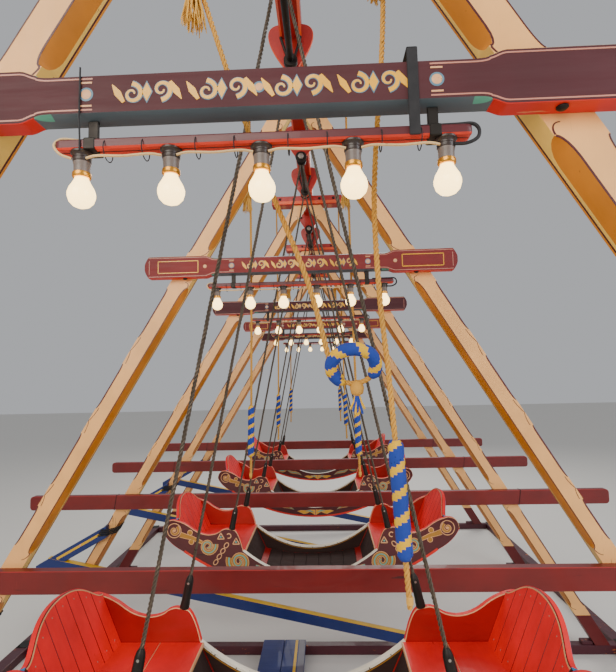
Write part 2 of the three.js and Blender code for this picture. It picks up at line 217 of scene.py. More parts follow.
lamp_red = finish_of("lamp_bar_red", "#d8300e", "#7a2010", 0.22, grain=ALONG_X)
lamp_maroon = finish_of("lamp_bar_maroon", "#541018", "#2c0c10", 0.22, grain=ALONG_X)
rail_red = finish_of("rail_red", "#6d0c0a", "#3a0a0a", 0.26, grain=ALONG_X, scratch="#84201a")
rail_edge = finish_of("rail_worn_edge", "#a01f1c", "#5e1212", 0.4, grain=ALONG_X)
sill_maroon = finish_of("sill_maroon", "#471320", "#a8582c", 0.3, grain=(0.4, 0.4, 1))
blue = finish_of("brake_blue", "#13296c", "#0b1a40", 0.3, grain=ALONG_X, scratch="#27448c")
yellow = finish_of("yellow_line", "#e6b414", "#8a7020", 0.26)
grey_band = finish_of("worn_grey_band", "#6f6c78", "#44404a", 0.4, grain=ALONG_Y)
boat_red = finish_of("boat_red", "#ee0a0c", "#9a0c08", 0.18, grain=ALONG_Z, coat=0.05, rough=0.56)
seat_red = finish_of("boat_seat_red", "#e60a0c", "#8e0c08", 0.2, grain=ALONG_Y, coat=0.05, rough=0.56)
inner_red = finish_of("boat_inner_red", "#9c0a08", "#540a08", 0.22, grain=ALONG_X)
boat_maroon = finish_of("boat_side_maroon", "#4c0b12", "#2a080c", 0.18, grain=ALONG_X, coat=0.2, rough=0.4)
joint_dark = finish_of("dark_plank_joint", "#3a0806", chips=0.1)
edge_cream = finish_of("boat_cream_edge", "#dba272", "#8a5c3c", 0.36)
mid_blue = finish_of("mid_blue_edge", "#2b7fae", "#1d4258", 0.24)
well_brown = finish_of("well_brown", "#2a1009", "#1c0e0a", 0.26, grain=ALONG_X, rough=0.78, coat=0.0)
white_strip = finish_of("white_strip", "#f2ead8", "#8a7a68", 0.24)
teal = finish_of("teal_ornament", "#5aa79c", "#265a52", 0.2)
iron = finish_of("dark_iron", "#2c2825", "#6a4a34", 0.26, metal=0.7, rough=0.46, coat=0.0)
wire_iron = finish_of("twisted_rod_iron", "#5a4f43", "#2c2620", 0.3, metal=0.55, rough=0.5, coat=0.0)
strap_black = finish_of("black_strap", "#17161a", "#3c3a3a", 0.2, rough=0.7, coat=0.0)
ridge_red = finish_of("ridge_red", "#a31408", "#5a100a", 0.26, grain=ALONG_Y)
ridge_edge = finish_of("ridge_orange_edge", "#e04e12", "#8a2a10", 0.3, grain=ALONG_Y)
hemp = finish_of("golden_hemp", "#c48f3a", "#8a6226", 0.36, rough=0.85, coat=0.0, bump=0.7)
fray = finish_of("frayed_hemp", "#d9a94e", "#9a7030", 0.3, rough=0.9, coat=0.0, bump=0.6)
wool_blue = finish_of("blue_wool", "#1d3a94", "#0f1f58", 0.4, rough=0.95, coat=0.0, bump=0.9)
wool_yellow = finish_of("yellow_wool", "#e0ae1c", "#9a7418", 0.4, rough=0.95, coat=0.0, bump=0.9)
holder = finish_of("dark_lamp_cap", "#2e211c", "#5a4030", 0.2, rough=0.4)
sleeve_grey = finish_of("lamp_sleeve", "#6e625c", "#4a3c34", 0.2, rough=0.4)
brass = finish_of("brass_collar", "#d0902c", "#7a5218", 0.2, metal=0.8, rough=0.3)
bulb_glass = finish_of("lit_bulb", "#ffd98c", rough=0.2, mottle=0.05, bump=0.0, glow=5.0)
cable = finish_of("pale_cable", "#d2b07c", "#8a6a48", 0.2, rough=0.6, coat=0.0)
steel = finish_of("worn_steel", "#a7a29a", "#5c4a3c", 0.3, metal=0.8, rough=0.4, coat=0.0)


# Mesh building
def turns(count):
    """Even angles once round a circle."""
    return [2 * math.pi * k / count for k in range(count)]


def frames_along(points):
    """A forward, side and up direction at each point of a path, turning as little as it can."""
    count = len(points)
    forward = []
    for i in range(count):
        ahead = points[min(i + 1, count - 1)] - points[max(i - 1, 0)]
        forward.append(ahead.normalized())
    start = X if abs(forward[0].x) < 0.8 else Z
    side = (start - forward[0] * start.dot(forward[0])).normalized()
    result = []
    for direction in forward:
        side = (side - direction * side.dot(direction)).normalized()
        result.append((direction, side, direction.cross(side)))
    return result


class Shell:
    """Faces gathered under one name, each with its own finish."""

    def __init__(self):
        self.points, self.faces, self.marks, self.finishes = [], [], [], []

    def mark(self, finish):
        if finish not in self.finishes:
            self.finishes.append(finish)
        return self.finishes.index(finish)

    def loft(self, rings, finish, closed=False):
        """Joins rings of equal count. finish is one material, or a function of ring and strip."""
        pick = finish if callable(finish) else (lambda i, k: finish)
        base, count = len(self.points), len(rings[0])
        for ring in rings:
            self.points.extend(ring)
        spans = len(rings) if closed else len(rings) - 1
        for i in range(spans):
            here, there = base + i * count, base + ((i + 1) % len(rings)) * count
            for k in range(count):
                after = (k + 1) % count
                self.faces.append((here + k, here + after, there + after, there + k))
                self.marks.append(self.mark(pick(i, k)))
        if not closed:
            for ring, start in ((0, base), (len(rings) - 2, base + (len(rings) - 1) * count)):
                self.faces.append(tuple(start + k for k in range(count)))
                self.marks.append(self.mark(pick(ring, -1)))

    def slab(self, outline, at, across, up, depth, finish, bevel, edge=None, back=None, arris=None):
        """A flat piece with an outline, softened along its rims. depth is a vector from the front face."""
        edge, back = edge or finish, back or finish
        count = len(outline)
        area = sum(outline[i][0] * outline[(i + 1) % count][1] - outline[(i + 1) % count][0] * outline[i][1]
                   for i in range(count))
        sign = 1 if area > 0 else -1
        inner = []
        for i in range(count):
            before, here, after = (Vector(outline[j % count]) for j in (i - 1, i, i + 1))
            first, second = (here - before).normalized(), (after - here).normalized()
            normal = Vector((-(first + second).y, (first + second).x)) * sign
            normal = normal.normalized() if normal.length > 1e-9 else Vector((0, 0))
            inner.append(here + normal * bevel)
        step = depth.normalized() * bevel
        put = lambda p: at + across * p[0] + up * p[1]
        full = [put(p) for p in outline]
        small = [put(p) for p in inner]
        rings = [small, [p + step for p in full], [p + depth - step for p in full],
                 [p + depth for p in small]]
        rims = edge if callable(edge) else (lambda k: edge)

        def pick(i, k):
            if k < 0:
                return finish if i == 0 else back
            return rims(k) if i == 1 or not arris else arris(k)
        self.loft(rings, pick)

    def block(self, centre, size, finish, bevel, axes=(X, Y, Z)):
        """A box with cut edges, turned to three axes."""
        a, b = size[0] / 2, size[1] / 2
        half = size[2] / 2
        outline = [(-a, -b), (a, -b), (a, b), (-a, b)]
        cut = []
        for i, (px, py) in enumerate(outline):
            sx, sy = math.copysign(bevel, px), math.copysign(bevel, py)
            pair = [(px, py - sy), (px - sx, py)]
            cut.extend(pair if i % 2 else pair[::-1])
        cut = sorted(cut, key=lambda p: math.atan2(p[1] / b, p[0] / a))
        self.slab(cut, centre - axes[2] * half, axes[0], axes[1], axes[2] * size[2], finish, bevel=bevel)

    def lathe(self, profile, at, axis, sides, finish):
        """A turned piece. profile is a list of radius and distance along the axis."""
        helper = X if abs(axis.x) < 0.8 else Y
        first = (helper - axis * helper.dot(axis)).normalized()
        second = axis.cross(first)
        rings = []
        for radius, along in profile:
            size = max(radius, 1e-5)
            rings.append([at + axis * along + (first * math.cos(t) + second * math.sin(t)) * size
                          for t in turns(sides)])
        self.loft(rings, finish)

    def tube(self, points, radius, finish, sides, closed=False):
        """A round tube on a path. radius is a number or a function of the share along the path."""
        size = radius if callable(radius) else (lambda t: radius)
        rings = []
        last = len(points) - 1
        for i, (point, (_, side, up)) in enumerate(zip(points, frames_along(points))):
            rings.append([point + (side * math.cos(t) + up * math.sin(t)) * size(i / last)
                          for t in turns(sides)])
        self.loft(rings, finish, closed=closed)

    def make(self, name, body, slot, replaces, angle=40):
        mesh = bpy.data.meshes.new(name)
        mesh.from_pydata([tuple(p) for p in self.points], [], self.faces)
        for finish in self.finishes:
            mesh.materials.append(finish)
        mesh.polygons.foreach_set("material_index", self.marks)
        work = bmesh.new()
        work.from_mesh(mesh)
        bmesh.ops.recalc_face_normals(work, faces=work.faces)
        work.to_mesh(mesh)
        work.free()
        mesh.shade_smooth()
        mesh.set_sharp_from_angle(angle=math.radians(angle))
        piece = bpy.data.objects.new(name, mesh)
        bpy.context.scene.collection.objects.link(piece)
        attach(piece, body)
        if replaces:
            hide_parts(*replaces)
        return piece


# How far painted relief reaches down into the face below it
PAINT_ROOT = 0.0004


class Panel:
    """A flat face of a shell, on which lines, discs and plates stand in slight relief."""

    def __init__(self, shell, at, across=X, up=Z):
        self.shell, self.at, self.across, self.up = shell, at, across, up
        self.out = across.cross(up)

    def place(self, point, height=0.0):
        return self.at + self.across * point[0] + self.up * point[1] + self.out * height

    def line(self, points, width, finish, lift=0.0006, closed=False):
        """A raised painted line. width is a number or a function of the share along it."""
        size = width if callable(width) else (lambda t: width)
        rings = []
        count = len(points)
        for i, point in enumerate(points):
            here = Vector(point)
            if closed:
                ahead = Vector(points[(i + 1) % count]) - Vector(points[i - 1])
            else:
                ahead = Vector(points[min(i + 1, count - 1)]) - Vector(points[max(i - 1, 0)])
            normal = Vector((-ahead.y, ahead.x)).normalized() * size(i / max(1, count - 1)) / 2
            left, right = here + normal, here - normal
            rings.append([self.place(left, lift), self.place(right, lift),
                          self.place(right, -PAINT_ROOT), self.place(left, -PAINT_ROOT)])
        self.shell.loft(rings, finish, closed=closed)

    def polygon(self, corners, width, finish):
        """Straight painted lines from corner to corner and back to the first."""
        for a, b in zip(corners, corners[1:] + corners[:1]):
            self.line([a, b], width, finish, 0.0009)

    def disc(self, centre, radius, finish, lift, sides=20):
        profile = [(radius, -PAINT_ROOT), (radius, lift * 0.6), (radius * 0.9, lift)]
        self.shell.lathe(profile, self.place(centre), self.out, sides, finish)

    def plate(self, outline, finish, lift, bevel):
        self.shell.slab(outline, self.at + self.out * lift, self.across, self.up,
                        self.out * -(lift + 0.0003), finish, bevel=bevel)


def quad(start, control, end, count):
    """Points of a quadratic curve, without the first."""
    result = []
    for i in range(1, count + 1):
        t = i / count
        result.append(tuple((1 - t) ** 2 * a + 2 * t * (1 - t) * b + t * t * c
                            for a, b, c in zip(start, control, end)))
    return result


def cubic(start, first, second, end, count):
    result = []
    for i in range(1, count + 1):
        t = i / count
        weights = ((1 - t) ** 3, 3 * t * (1 - t) ** 2, 3 * t * t * (1 - t), t ** 3)
        result.append(tuple(sum(w * p[k] for w, p in zip(weights, (start, first, second, end)))
                            for k in range(2)))
    return result


SPIRAL_STEPS = 26


def spiral(centre, outer, inner, start, winds):
    """A volute wound inwards. start is a share of a turn, and negative winds run clockwise."""
    result = []
    for i in range(SPIRAL_STEPS + 1):
        t = i / SPIRAL_STEPS
        radius = outer + (inner - outer) * t ** 0.8
        angle = 2 * math.pi * (start + winds * t)
        result.append((centre[0] + radius * math.cos(angle), centre[1] + radius * math.sin(angle)))
    return result


def catmull(points, per_span):
    """The centripetal curve through the points, as the CAD source draws it."""
    result = [points[0]]
    for i in range(len(points) - 1):
        a = points[i - 1] if i else points[0] * 2 - points[1]
        b, c = points[i], points[i + 1]
        d = points[i + 2] if i + 2 < len(points) else points[-1] * 2 - points[-2]
        gaps = [max(1e-4, (q - p).length ** 0.5) for p, q in ((a, b), (b, c), (c, d))]
        leave = ((b - a) / gaps[0] - (c - a) / (gaps[0] + gaps[1]) + (c - b) / gaps[1]) * gaps[1]
        reach = ((c - b) / gaps[1] - (d - b) / (gaps[1] + gaps[2]) + (d - c) / gaps[2]) * gaps[1]
        for k in range(1, per_span + 1):
            t = k / per_span
            result.append(b * (2 * t ** 3 - 3 * t * t + 1) + leave * (t ** 3 - 2 * t * t + t)
                          + c * (3 * t * t - 2 * t ** 3) + reach * (t ** 3 - t * t))
    return result


def length_of(points):
    return sum((b - a).length for a, b in zip(points, points[1:]))


def resample(points, step):
    total = length_of(points)
    count = max(2, round(total / step))
    result, index, gone = [points[0]], 0, 0.0
    for k in range(1, count):
        goal = total * k / count
        while gone + (points[index + 1] - points[index]).length < goal:
            gone += (points[index + 1] - points[index]).length
            index += 1
        part = (goal - gone) / (points[index + 1] - points[index]).length
        result.append(points[index].lerp(points[index + 1], part))
    return result + [points[-1]]


# Ropes: three strands laid round each route, a striped woollen grip, a knot and a frayed tassel
def laid_rope(shell, points, radius, lay, finish, sides=6, step=0.0055):
    path = resample(points, step)
    strand = radius * 0.464
    offset = radius - strand
    directions = frames_along(path)
    for strand_number in range(3):
        line = []
        travelled = 0.0
        for i, (point, (_, side, up)) in enumerate(zip(path, directions)):
            if i:
                travelled += (point - path[i - 1]).length
            angle = 2 * math.pi * (travelled / lay + strand_number / 3)
            line.append(point + (side * math.cos(angle) + up * math.sin(angle)) * offset)
        shell.tube(line, strand, finish, sides)


def woollen_grip(shell, points, radius):
    """A thick woolly sleeve with one wide blue and one narrow yellow band that wind round it."""
    step, pitch = 0.006, 0.057
    path = resample(points, step)
    sides = 24
    directions = frames_along(path)
    place = lambda i, k: (i * step / pitch - k / sides) % 1.0
    rings = []
    for i, (point, (_, side, up)) in enumerate(zip(path, directions)):
        share = i / (len(path) - 1)
        end = min(1.0, 0.62 + 9 * min(share, 1 - share))
        ring = []
        for k in range(sides):
            turn = 2 * math.pi * k / sides
            near = min(abs(place(i, k) - 0.66), place(i, k), 1 - place(i, k))
            groove = 1 - 0.09 * max(0.0, 1 - near / 0.1)
            tuft = 1 + random.uniform(-0.022, 0.022)
            ring.append(point + (side * math.cos(turn) + up * math.sin(turn)) * radius * groove * end * tuft)
        rings.append(ring)
    shell.loft(rings, lambda i, k: wool_yellow if place(i, k) > 0.66 else wool_blue)


def tassel(shell, top, drop, spread):
    """A knot with a loose skirt of frayed strands below it, or a frayed ball where the drop is short."""
    knot = [(0.004, 0.022), (0.016, 0.017), (0.021, 0.006), (0.019, -0.006), (0.012, -0.016), (0.006, -0.02)]
    shell.lathe(knot, top, Z, 14, hemp)
    for wrap in (0.012, 0.002, -0.008):
        ring = [top + Vector((math.cos(t) * 0.0195, math.sin(t) * 0.0195,
                              wrap + 0.003 * math.sin(t + wrap * 90))) for t in turns(18)]
        shell.tube(ring, 0.0052, hemp, 6, closed=True)
    for k in range(64):
        angle = 2 * math.pi * k / 64 + random.uniform(-0.1, 0.1)
        outward = Vector((math.cos(angle), math.sin(angle), 0))
        reach = spread * random.uniform(0.35, 1.0)
        fall = drop * random.uniform(0.8, 1.0)
        line = [top + outward * (0.012 + (reach - 0.012) * t ** 0.7) - Z * (0.008 + fall * t)
                + outward.cross(Z) * (0.004 * math.sin(5 * t + k)) for t in (0, 0.3, 0.6, 0.85, 1)]
        shell.tube(line, lambda t: 0.0023 * (1 - 0.55 * t), fray, 4)


def in_rope_plane(points, frame_y):
    return [Vector((x, frame_y + ROPE_Y, z)) for x, z in points]


HANGING = [(ROPE_X, ROPE_TOP_Z), (ROPE_X, 3.4), (0.302, 2.9), (0.308, 2.4), (0.315, 1.95), (0.318, 1.83)]
HANGING_GRIP = [(0.31, 2.25), (0.315, 1.95)]
BOWED = [(ROPE_X, ROPE_TOP_Z), (0.303, 3.362), (0.269, 2.956), (0.262, 2.818), (0.269, 2.586), (0.281, 2.438),
         (0.292, 2.261), (0.306, 1.983), (0.312, 1.874)]
BOWED_GRIP = [(0.292, 2.261), (0.306, 1.983)]
GATHERED = [(-ROPE_X, ROPE_TOP_Z), (-ROPE_X, 3.9), (-0.212, 3.576), (-0.151, 3.363), (-0.06, 3.07),
            (0.012, 2.865), (0.094, 2.642), (0.144, 2.438)]
RING_AT = (0.198, 2.438)
RING_TILT = math.pi / 2 + 0.7


def ring_point(angle, frame_y):
    across, rise = math.cos(angle), math.sin(angle)
    flat = Vector((across, rise * math.cos(RING_TILT), rise * math.sin(RING_TILT)))
    return Vector((RING_AT[0], frame_y + ROPE_Y, RING_AT[1])) + flat * RING_RADIUS


def hang_rope(number, side_name, points, grip, frame_y, knot_z, drop=0.1):
    """One pull rope with its grip, knot and whipped tail."""
    label = f"rope_{number}_{side_name}"
    route = catmull(in_rope_plane(points, frame_y), 10)
    rope = Shell()
    laid_rope(rope, route, ROPE_RADIUS, 0.042, hemp)
    piece = rope.make(f"{label}_strands", "frame", "rope_hemp", [label], 60)
    extra = Shell()
    knot = min(route, key=lambda p: abs(p.z - knot_z))
    tassel(extra, knot + Vector((-0.02, -0.012, 0.0)), drop, 0.034)
    for loop in range(4):
        height = knot_z + 0.03 + loop * 0.011
        near = min(route, key=lambda p: abs(p.z - height))
        ring = [Vector((near.x + math.cos(t) * 0.013, near.y + math.sin(t) * 0.013,
                        height + 0.003 * math.cos(t))) for t in turns(16)]
        extra.tube(ring, 0.0052, hemp, 6, closed=True)
    pieces = [extra.make(f"{label}_tassel", "frame", "rope_hemp", (), 60)]
    if grip:
        sleeve = Shell()
        woollen_grip(sleeve, in_rope_plane(grip, frame_y), GRIP_RADIUS)
        whipping = [(0.0078, -0.0016), (0.0088, 0), (0.0078, 0.0016)]
        for wrap in range(5):
            sleeve.lathe(whipping, route[-1] + Z * (0.012 + wrap * 0.0034), Z, 12, fray)
        pieces.append(sleeve.make(f"{label}_grip", "frame", "rope_hemp", (), 60))
    else:
        loop = Shell()
        start, end = math.radians(-35), math.radians(245)
        striped = [ring_point(start + (end - start) * t / 30, frame_y) for t in range(31)]
        woollen_grip(loop, striped, 0.0165)
        bare = [ring_point(end + (2 * math.pi + start - end) * t / 12, frame_y) for t in range(13)]
        laid_rope(loop, bare, ROPE_RADIUS, 0.03, hemp)
        low = ring_point(math.radians(-80), frame_y)
        loop.lathe([(0.004, -0.02), (0.015, -0.014), (0.018, 0), (0.014, 0.014), (0.004, 0.02)],
                   low - Z * 0.012, Z, 12, hemp)
        for k in range(7):
            lean = Vector((0.006 * (k - 3), random.uniform(-0.006, 0.006), -0.034 - 0.006 * (k % 3)))
            rag = [low - Z * 0.02, low - Z * 0.03 + lean * 0.5, low - Z * 0.03 + lean]
            loop.tube(rag, lambda t: 0.004 * (1 - 0.3 * t), wool_blue if k % 2 else wool_yellow, 5)
        pieces.append(loop.make(f"{label}_ring", "frame", "rope_hemp", (), 60))
    [tuple(p) for p in resample(route, 0.02)]


def mirrored(points):
    return [(-x, z) for x, z in points]


NEAR_KNOT_Z, KNOT_Z = 3.42, 3.5
for index, y in enumerate(FRAME_Y[:4]):
    if index == 0:
        hang_rope(1, "left", GATHERED, None, y, NEAR_KNOT_Z)
        hang_rope(1, "right", BOWED, BOWED_GRIP, y, NEAR_KNOT_Z, 0.03)
    else:
        hang_rope(index + 1, "left", mirrored(HANGING), mirrored(HANGING_GRIP), y, KNOT_Z)
        hang_rope(index + 1, "right", HANGING, HANGING_GRIP, y, KNOT_Z)


# Legs: stopped chamfers, painted in bands
INNER_STRETCHES = [(0.40, 1.20), (1.46, 2.94), (3.16, 3.88)]
OUTER_STRETCHES = [(0.40, 1.20), (1.51, 1.72), (1.84, 2.12), (2.26, 2.51), (2.66, 2.94), (3.15, 3.88)]
STOP_LENGTH = 0.05
RISES = (0.0, 0.04, 0.14, 0.32, 0.6, 1.0)
FOOT_PAINT_Z = 0.32
INNER_CUT, INNER_CUT_DEPTH = 0.021, 0.047
OUTER_CUT, OUTER_CUT_DEPTH = 0.010, 0.010


def chamfer_share(stretches, z):
    """How far a stopped chamfer is cut at a height, from 0 to 1, with round ends."""
    for low, high in stretches:
        if low < z < high:
            t = min(1.0, (z - low) / STOP_LENGTH, (high - z) / STOP_LENGTH)
            return math.sqrt(max(0.0, 1 - (1 - t) ** 2))
    return 0.0


def stations_of(low, high):
    """Heights along a stretch, close together at its round ends."""
    return [low + STOP_LENGTH * t for t in RISES] + [high - STOP_LENGTH * t for t in reversed(RISES)]


def leg_levels():
    levels = {LEG_FOOT_Z, FOOT_PAINT_Z, FOOT_PAINT_Z + 0.0001, LEG_TOP_Z}
    for low, high in INNER_STRETCHES + OUTER_STRETCHES:
        levels.update(round(z, 5) for z in stations_of(low, high))
    return sorted(levels)


def leg_x(side, z):
    return side * LEG_SLOPE * (LEG_APEX_Z - z)


def make_leg(number, name, side, y):
    levels = leg_levels()
    depth = LEG_HALF_DEPTH
    rear = 0.004
    arris = 0.0006
    rings = []
    for z in levels:
        inner, outer = chamfer_share(INNER_STRETCHES, z), chamfer_share(OUTER_STRETCHES, z)
        centre = leg_x(side, z)
        inner_x, outer_x = centre - side * LEG_SPAN / 2, centre + side * LEG_SPAN / 2
        ring = [(inner_x, -depth + arris + INNER_CUT_DEPTH * inner),
                (inner_x + side * (arris + INNER_CUT * inner), -depth),
                (outer_x - side * (arris + OUTER_CUT * outer), -depth),
                (outer_x, -depth + arris + OUTER_CUT_DEPTH * outer),
                (outer_x, depth - rear), (outer_x - side * rear, depth),
                (inner_x + side * rear, depth), (inner_x, depth - rear),
                (inner_x, depth - 0.011), (inner_x, depth - 0.017)]
        rings.append([Vector((px, y + py, z)) for px, py in ring])
    # Band 9 is the inner side, in the cream lightened with painted lamp light
    bands = [mustard, cream, plum, cream, cream, cream, cream, orange, lining, pale]

    def pick(i, k):
        if k < 0 or levels[i] < FOOT_PAINT_Z:
            return foot_red if levels[i] < FOOT_PAINT_Z else cream
        middle = (levels[i] + levels[min(i + 1, len(levels) - 1)]) / 2
        if k == 0 and chamfer_share(INNER_STRETCHES, middle) < 0.05:
            return cream
        if k == 2 and chamfer_share(OUTER_STRETCHES, middle) < 0.05:
            return cream
        return bands[k]
    shell = Shell()
    shell.loft(rings, pick)
    face = Panel(shell, Vector((0, y - depth, 0)))

    def line_at(edge, z, inset):
        """A place on the front face, measured from the inner (-1) or outer (1) edge."""
        return (leg_x(side, z) + side * edge * (LEG_SPAN / 2 - inset), z)
    for low, high in INNER_STRETCHES:
        face.line([line_at(-1, z, INNER_CUT * chamfer_share(INNER_STRETCHES, z) + 0.0035)
                   for z in stations_of(low, high)], 0.005, lining)
        for end, way in ((low, -1), (high, 1)):
            curl = [line_at(-1, end + way * (0.002 + 0.03 * math.sin(t * math.pi / 16)),
                            0.004 + 0.03 * (1 - math.cos(t * math.pi / 16))) for t in range(9)]
            face.line(curl, lambda t: 0.0048 * (1 - 0.5 * t), lining)
    for low, high in OUTER_STRETCHES:
        face.line([line_at(1, z, OUTER_CUT * chamfer_share(OUTER_STRETCHES, z) + 0.0022)
                   for z in stations_of(low, high)], 0.0032, lining)
    for (_, low), (high, _) in zip(OUTER_STRETCHES[1:], OUTER_STRETCHES[2:]):
        if high - low > 0.18:
            continue
        face.line([line_at(1, low + (high - low) * t / 20,
                           0.002 + 0.017 * abs(math.cos(math.pi * t / 20)) ** 0.7) for t in range(21)],
                  0.0032, lining)
    shell.make(f"leg_{number}_{name}", "frame", "frame_cream", [f"frame_{number}_leg_{name}"], 35)


for index, y in enumerate(FRAME_Y):
    make_leg(index + 1, "left", -1, y)
    make_leg(index + 1, "right", 1, y)


# Head bars with their rope lugs
def make_head(number, y):
    shell = Shell()
    centre = Vector((0, y, HEAD_Z + HEAD_HEIGHT / 2))
    shell.block(centre, (0.66, 0.12, HEAD_HEIGHT), ridge_red, bevel=0.006)
    shell.block(centre + Vector((0, -0.0605, -0.022)), (0.64, 0.004, 0.03), ridge_edge, bevel=0.001)
    for side in (-1, 1):
        lug = centre + Vector((side * ROPE_X, 0.06 + 0.021, 0))
        shell.block(lug, (0.03, 0.044, 0.04), iron, bevel=0.005)
        shell.lathe([(0.011, -0.02), (0.015, -0.006), (0.015, 0.006), (0.011, 0.02)], lug, Z, 14, iron)
        for bolt in (0.12, 0.25):
            head = centre + Vector((side * bolt, -0.06, 0.012))
            shell.lathe([(0.013, 0), (0.013, 0.003), (0.009, 0.0031), (0.008, 0.009), (0.004, 0.011)],
                        head, -Y, 6, iron)
    shell.make(f"head_{number}", "frame", "rail_red", [f"head_bar_{number}"])


# Boards: waisted, chamfered above and below the waist, with a stepped pinstripe
BOARD_HALF, BOARD_BULGE, BOARD_WAIST, BOARD_STEP = 0.865, 0.025, 0.5, 0.04
TALL, SLIM, BOARD_THICK = 0.062, 0.05, 0.048


def board_half_height(x):
    away = abs(x)
    if away <= BOARD_WAIST:
        return SLIM
    if away <= BOARD_WAIST + BOARD_STEP:
        t = (away - BOARD_WAIST) / BOARD_STEP
        return SLIM + (TALL - SLIM) * t * t * (3 - 2 * t)
    if away <= BOARD_HALF:
        return TALL
    return TALL * math.sqrt(max(0.0, 1 - (away - BOARD_HALF) / BOARD_BULGE))


def board_chamfer(x):
    """How far the chamfer of the waist is cut, from 0 to 1."""
    t = min(1.0, max(0.0, (BOARD_WAIST + 0.004 - abs(x)) / 0.035))
    return math.sqrt(1 - (1 - t) ** 2)


def make_board(number, y):
    front, back = y + FRONT_Y - BOARD_THICK, y + FRONT_Y
    right = [0.0, 0.2, 0.373, 0.466, 0.469, 0.475, 0.485, 0.495, 0.502, 0.504, 0.506, 0.512, 0.518, 0.524,
             0.531, 0.54, 0.7, 0.865, 0.872, 0.879, 0.884, 0.887, 0.8885]
    stations = [-x for x in reversed(right[1:])] + right
    arris = 0.0012
    rings = []
    for x in stations:
        half, share = board_half_height(x), board_chamfer(x)
        face_cut = min(arris + 0.006 * share, half * 0.8)
        deep_cut = arris + 0.016 * share
        rings.append([Vector((x, py, BOARD_Z + pz)) for py, pz in (
            (back, -half), (front + deep_cut, -half), (front, -half + face_cut), (front, half - face_cut),
            (front + deep_cut, half), (back, half))])
    face_finish = board_maroon if number % 2 else board_red

    def pick(i, k):
        if k < 0:
            return face_finish
        away = abs((stations[i] + stations[min(i + 1, len(stations) - 1)]) / 2)
        if k == 0:
            return bright_red if away > BOARD_WAIST + 0.006 else slate
        if k in (1, 3):
            if away > BOARD_WAIST + 0.003:
                return bright_red if k == 1 else worn_cream
            return sea_green if away > 0.466 else slate
        return {2: face_finish, 4: worn_cream, 5: face_finish}[k]
    shell = Shell()
    shell.loft(rings, pick)
    panel = Panel(shell, Vector((0, front, BOARD_Z)))
    for side in (-1, 1):
        for end in (-1, 1):
            line = [(x, side * (board_half_height(x) - 0.006 * board_chamfer(x) - 0.008))
                    for x in stations if 0.37 < end * x < 0.87]
            panel.line(line, 0.0036, pink_line)
    board_ornament(panel, number)
    for side in (-1, 1):
        bolt = Vector((side * 0.66, front + 0.02, BOARD_Z - TALL))
        shell.lathe([(0.013, 0), (0.013, 0.004), (0.008, 0.008), (0.003, 0.009)], bolt, -Z, 12, iron)
        panel.line([(side * 0.862, -0.04), (side * 0.862, 0.04)], 0.0036, pink_line)
    if number % 2 == 0:
        for side in (-1, 1):
            near, far, tall = side * 0.58, side * 0.81, 0.034
            panel.polygon([(near, -tall), (near, tall), (far, tall), (far, -tall)], 0.0045, gold)
    shell.make(f"board_{number}", "frame", "board_maroon", [f"sign_board_{number}"], 35)


def roundel(panel, x, ring, heart):
    panel.disc((x, 0), ring, blue_ring, 0.0008)
    panel.disc((x, 0), heart, edge_cream, 0.0014)


def board_ornament(panel, number):
    """A plain run of roundels, lozenges and scrolls across the waist."""
    for side in (-1, 1):
        x = side * 0.387
        roundel(panel, x, 0.016, 0.0115)
        for up in (-1, 1):
            panel.line([(x - 0.013, up * 0.027), (x + 0.013, up * 0.027)], 0.004, edge_cream, 0.0009)
        for centre in (0.083, 0.25):
            middle = side * centre
            for way in (-1, 1):
                curve = spiral((middle + way * 0.033, way * 0.004), 0.0245, 0.005, 0.25 + 0.5 * (way > 0),
                               way * 1.25)
                panel.line(curve, lambda t: 0.0145 * (1 - 0.7 * t), blue_ring)
                panel.line(curve, lambda t: 0.0098 * (1 - 0.7 * t), gold, 0.0012)
                leaf_line = [(middle + way * 0.052, way * 0.022), (middle + way * 0.066, 0.0),
                             (middle + way * 0.078, -way * 0.02)]
                panel.line(leaf_line, lambda t: 0.002 + 0.015 * math.sin(math.pi * min(1, t + 0.12)), gold,
                           0.001)
            for size, finish, lift in ((0.0265, blue_ring, 0.0006), (0.0215, gold, 0.0012)):
                half = size * 0.5
                diamond = [(middle - half, 0), (middle, size), (middle + half, 0), (middle, -size)]
                panel.plate(diamond, finish, lift, 0.0003)
    roundel(panel, 0, 0.013, 0.009)
    if number % 2 == 0:
        for side in (-1, 1):
            panel.disc((side * 0.54, 0), 0.0105, edge_cream, 0.0014)


# Lamp bars: a two-colour batten with ribbed holders, bulbs and their wiring
LAMP_CAP = [(0.0245, 0.001), (0.0245, -0.003), (0.0215, -0.0045), (0.0195, -0.009), (0.0203, -0.0095),
            (0.0203, -0.0125), (0.0193, -0.013), (0.0193, -0.016), (0.0201, -0.0165), (0.0201, -0.0195),
            (0.0188, -0.0225)]
LAMP_SLEEVE = [(0.0186, -0.021), (0.0186, -0.026), (0.0176, -0.028), (0.0172, -0.044), (0.0164, -0.047)]
LAMP_COLLAR = [(0.0165, -0.045), (0.0198, -0.047), (0.0202, -0.0505), (0.0202, -0.0555), (0.0185, -0.058),
               (0.015, -0.0585)]
LAMP_GLASS = [(0.0145, -0.056), (0.0155, -0.062), (0.0205, -0.072), (0.0268, -0.083), (0.0298, -0.093),
              (0.0296, -0.101), (0.0262, -0.1125), (0.018, -0.1215), (0.007, -0.1262), (0.0005, -0.127)]
LAMP_PARTS = ((LAMP_CAP, 20, holder), (LAMP_SLEEVE, 20, sleeve_grey), (LAMP_COLLAR, 20, brass),
              (LAMP_GLASS, 24, bulb_glass))
BATTEN = [(-0.018, -0.012), (-0.006, -0.012), (-0.0035, -0.009), (0.0035, -0.009), (0.006, -0.012),
          (0.018, -0.012), (0.022, -0.008), (0.022, 0.008), (0.018, 0.012), (-0.018, 0.012),
          (-0.022, 0.008), (-0.022, -0.008)]
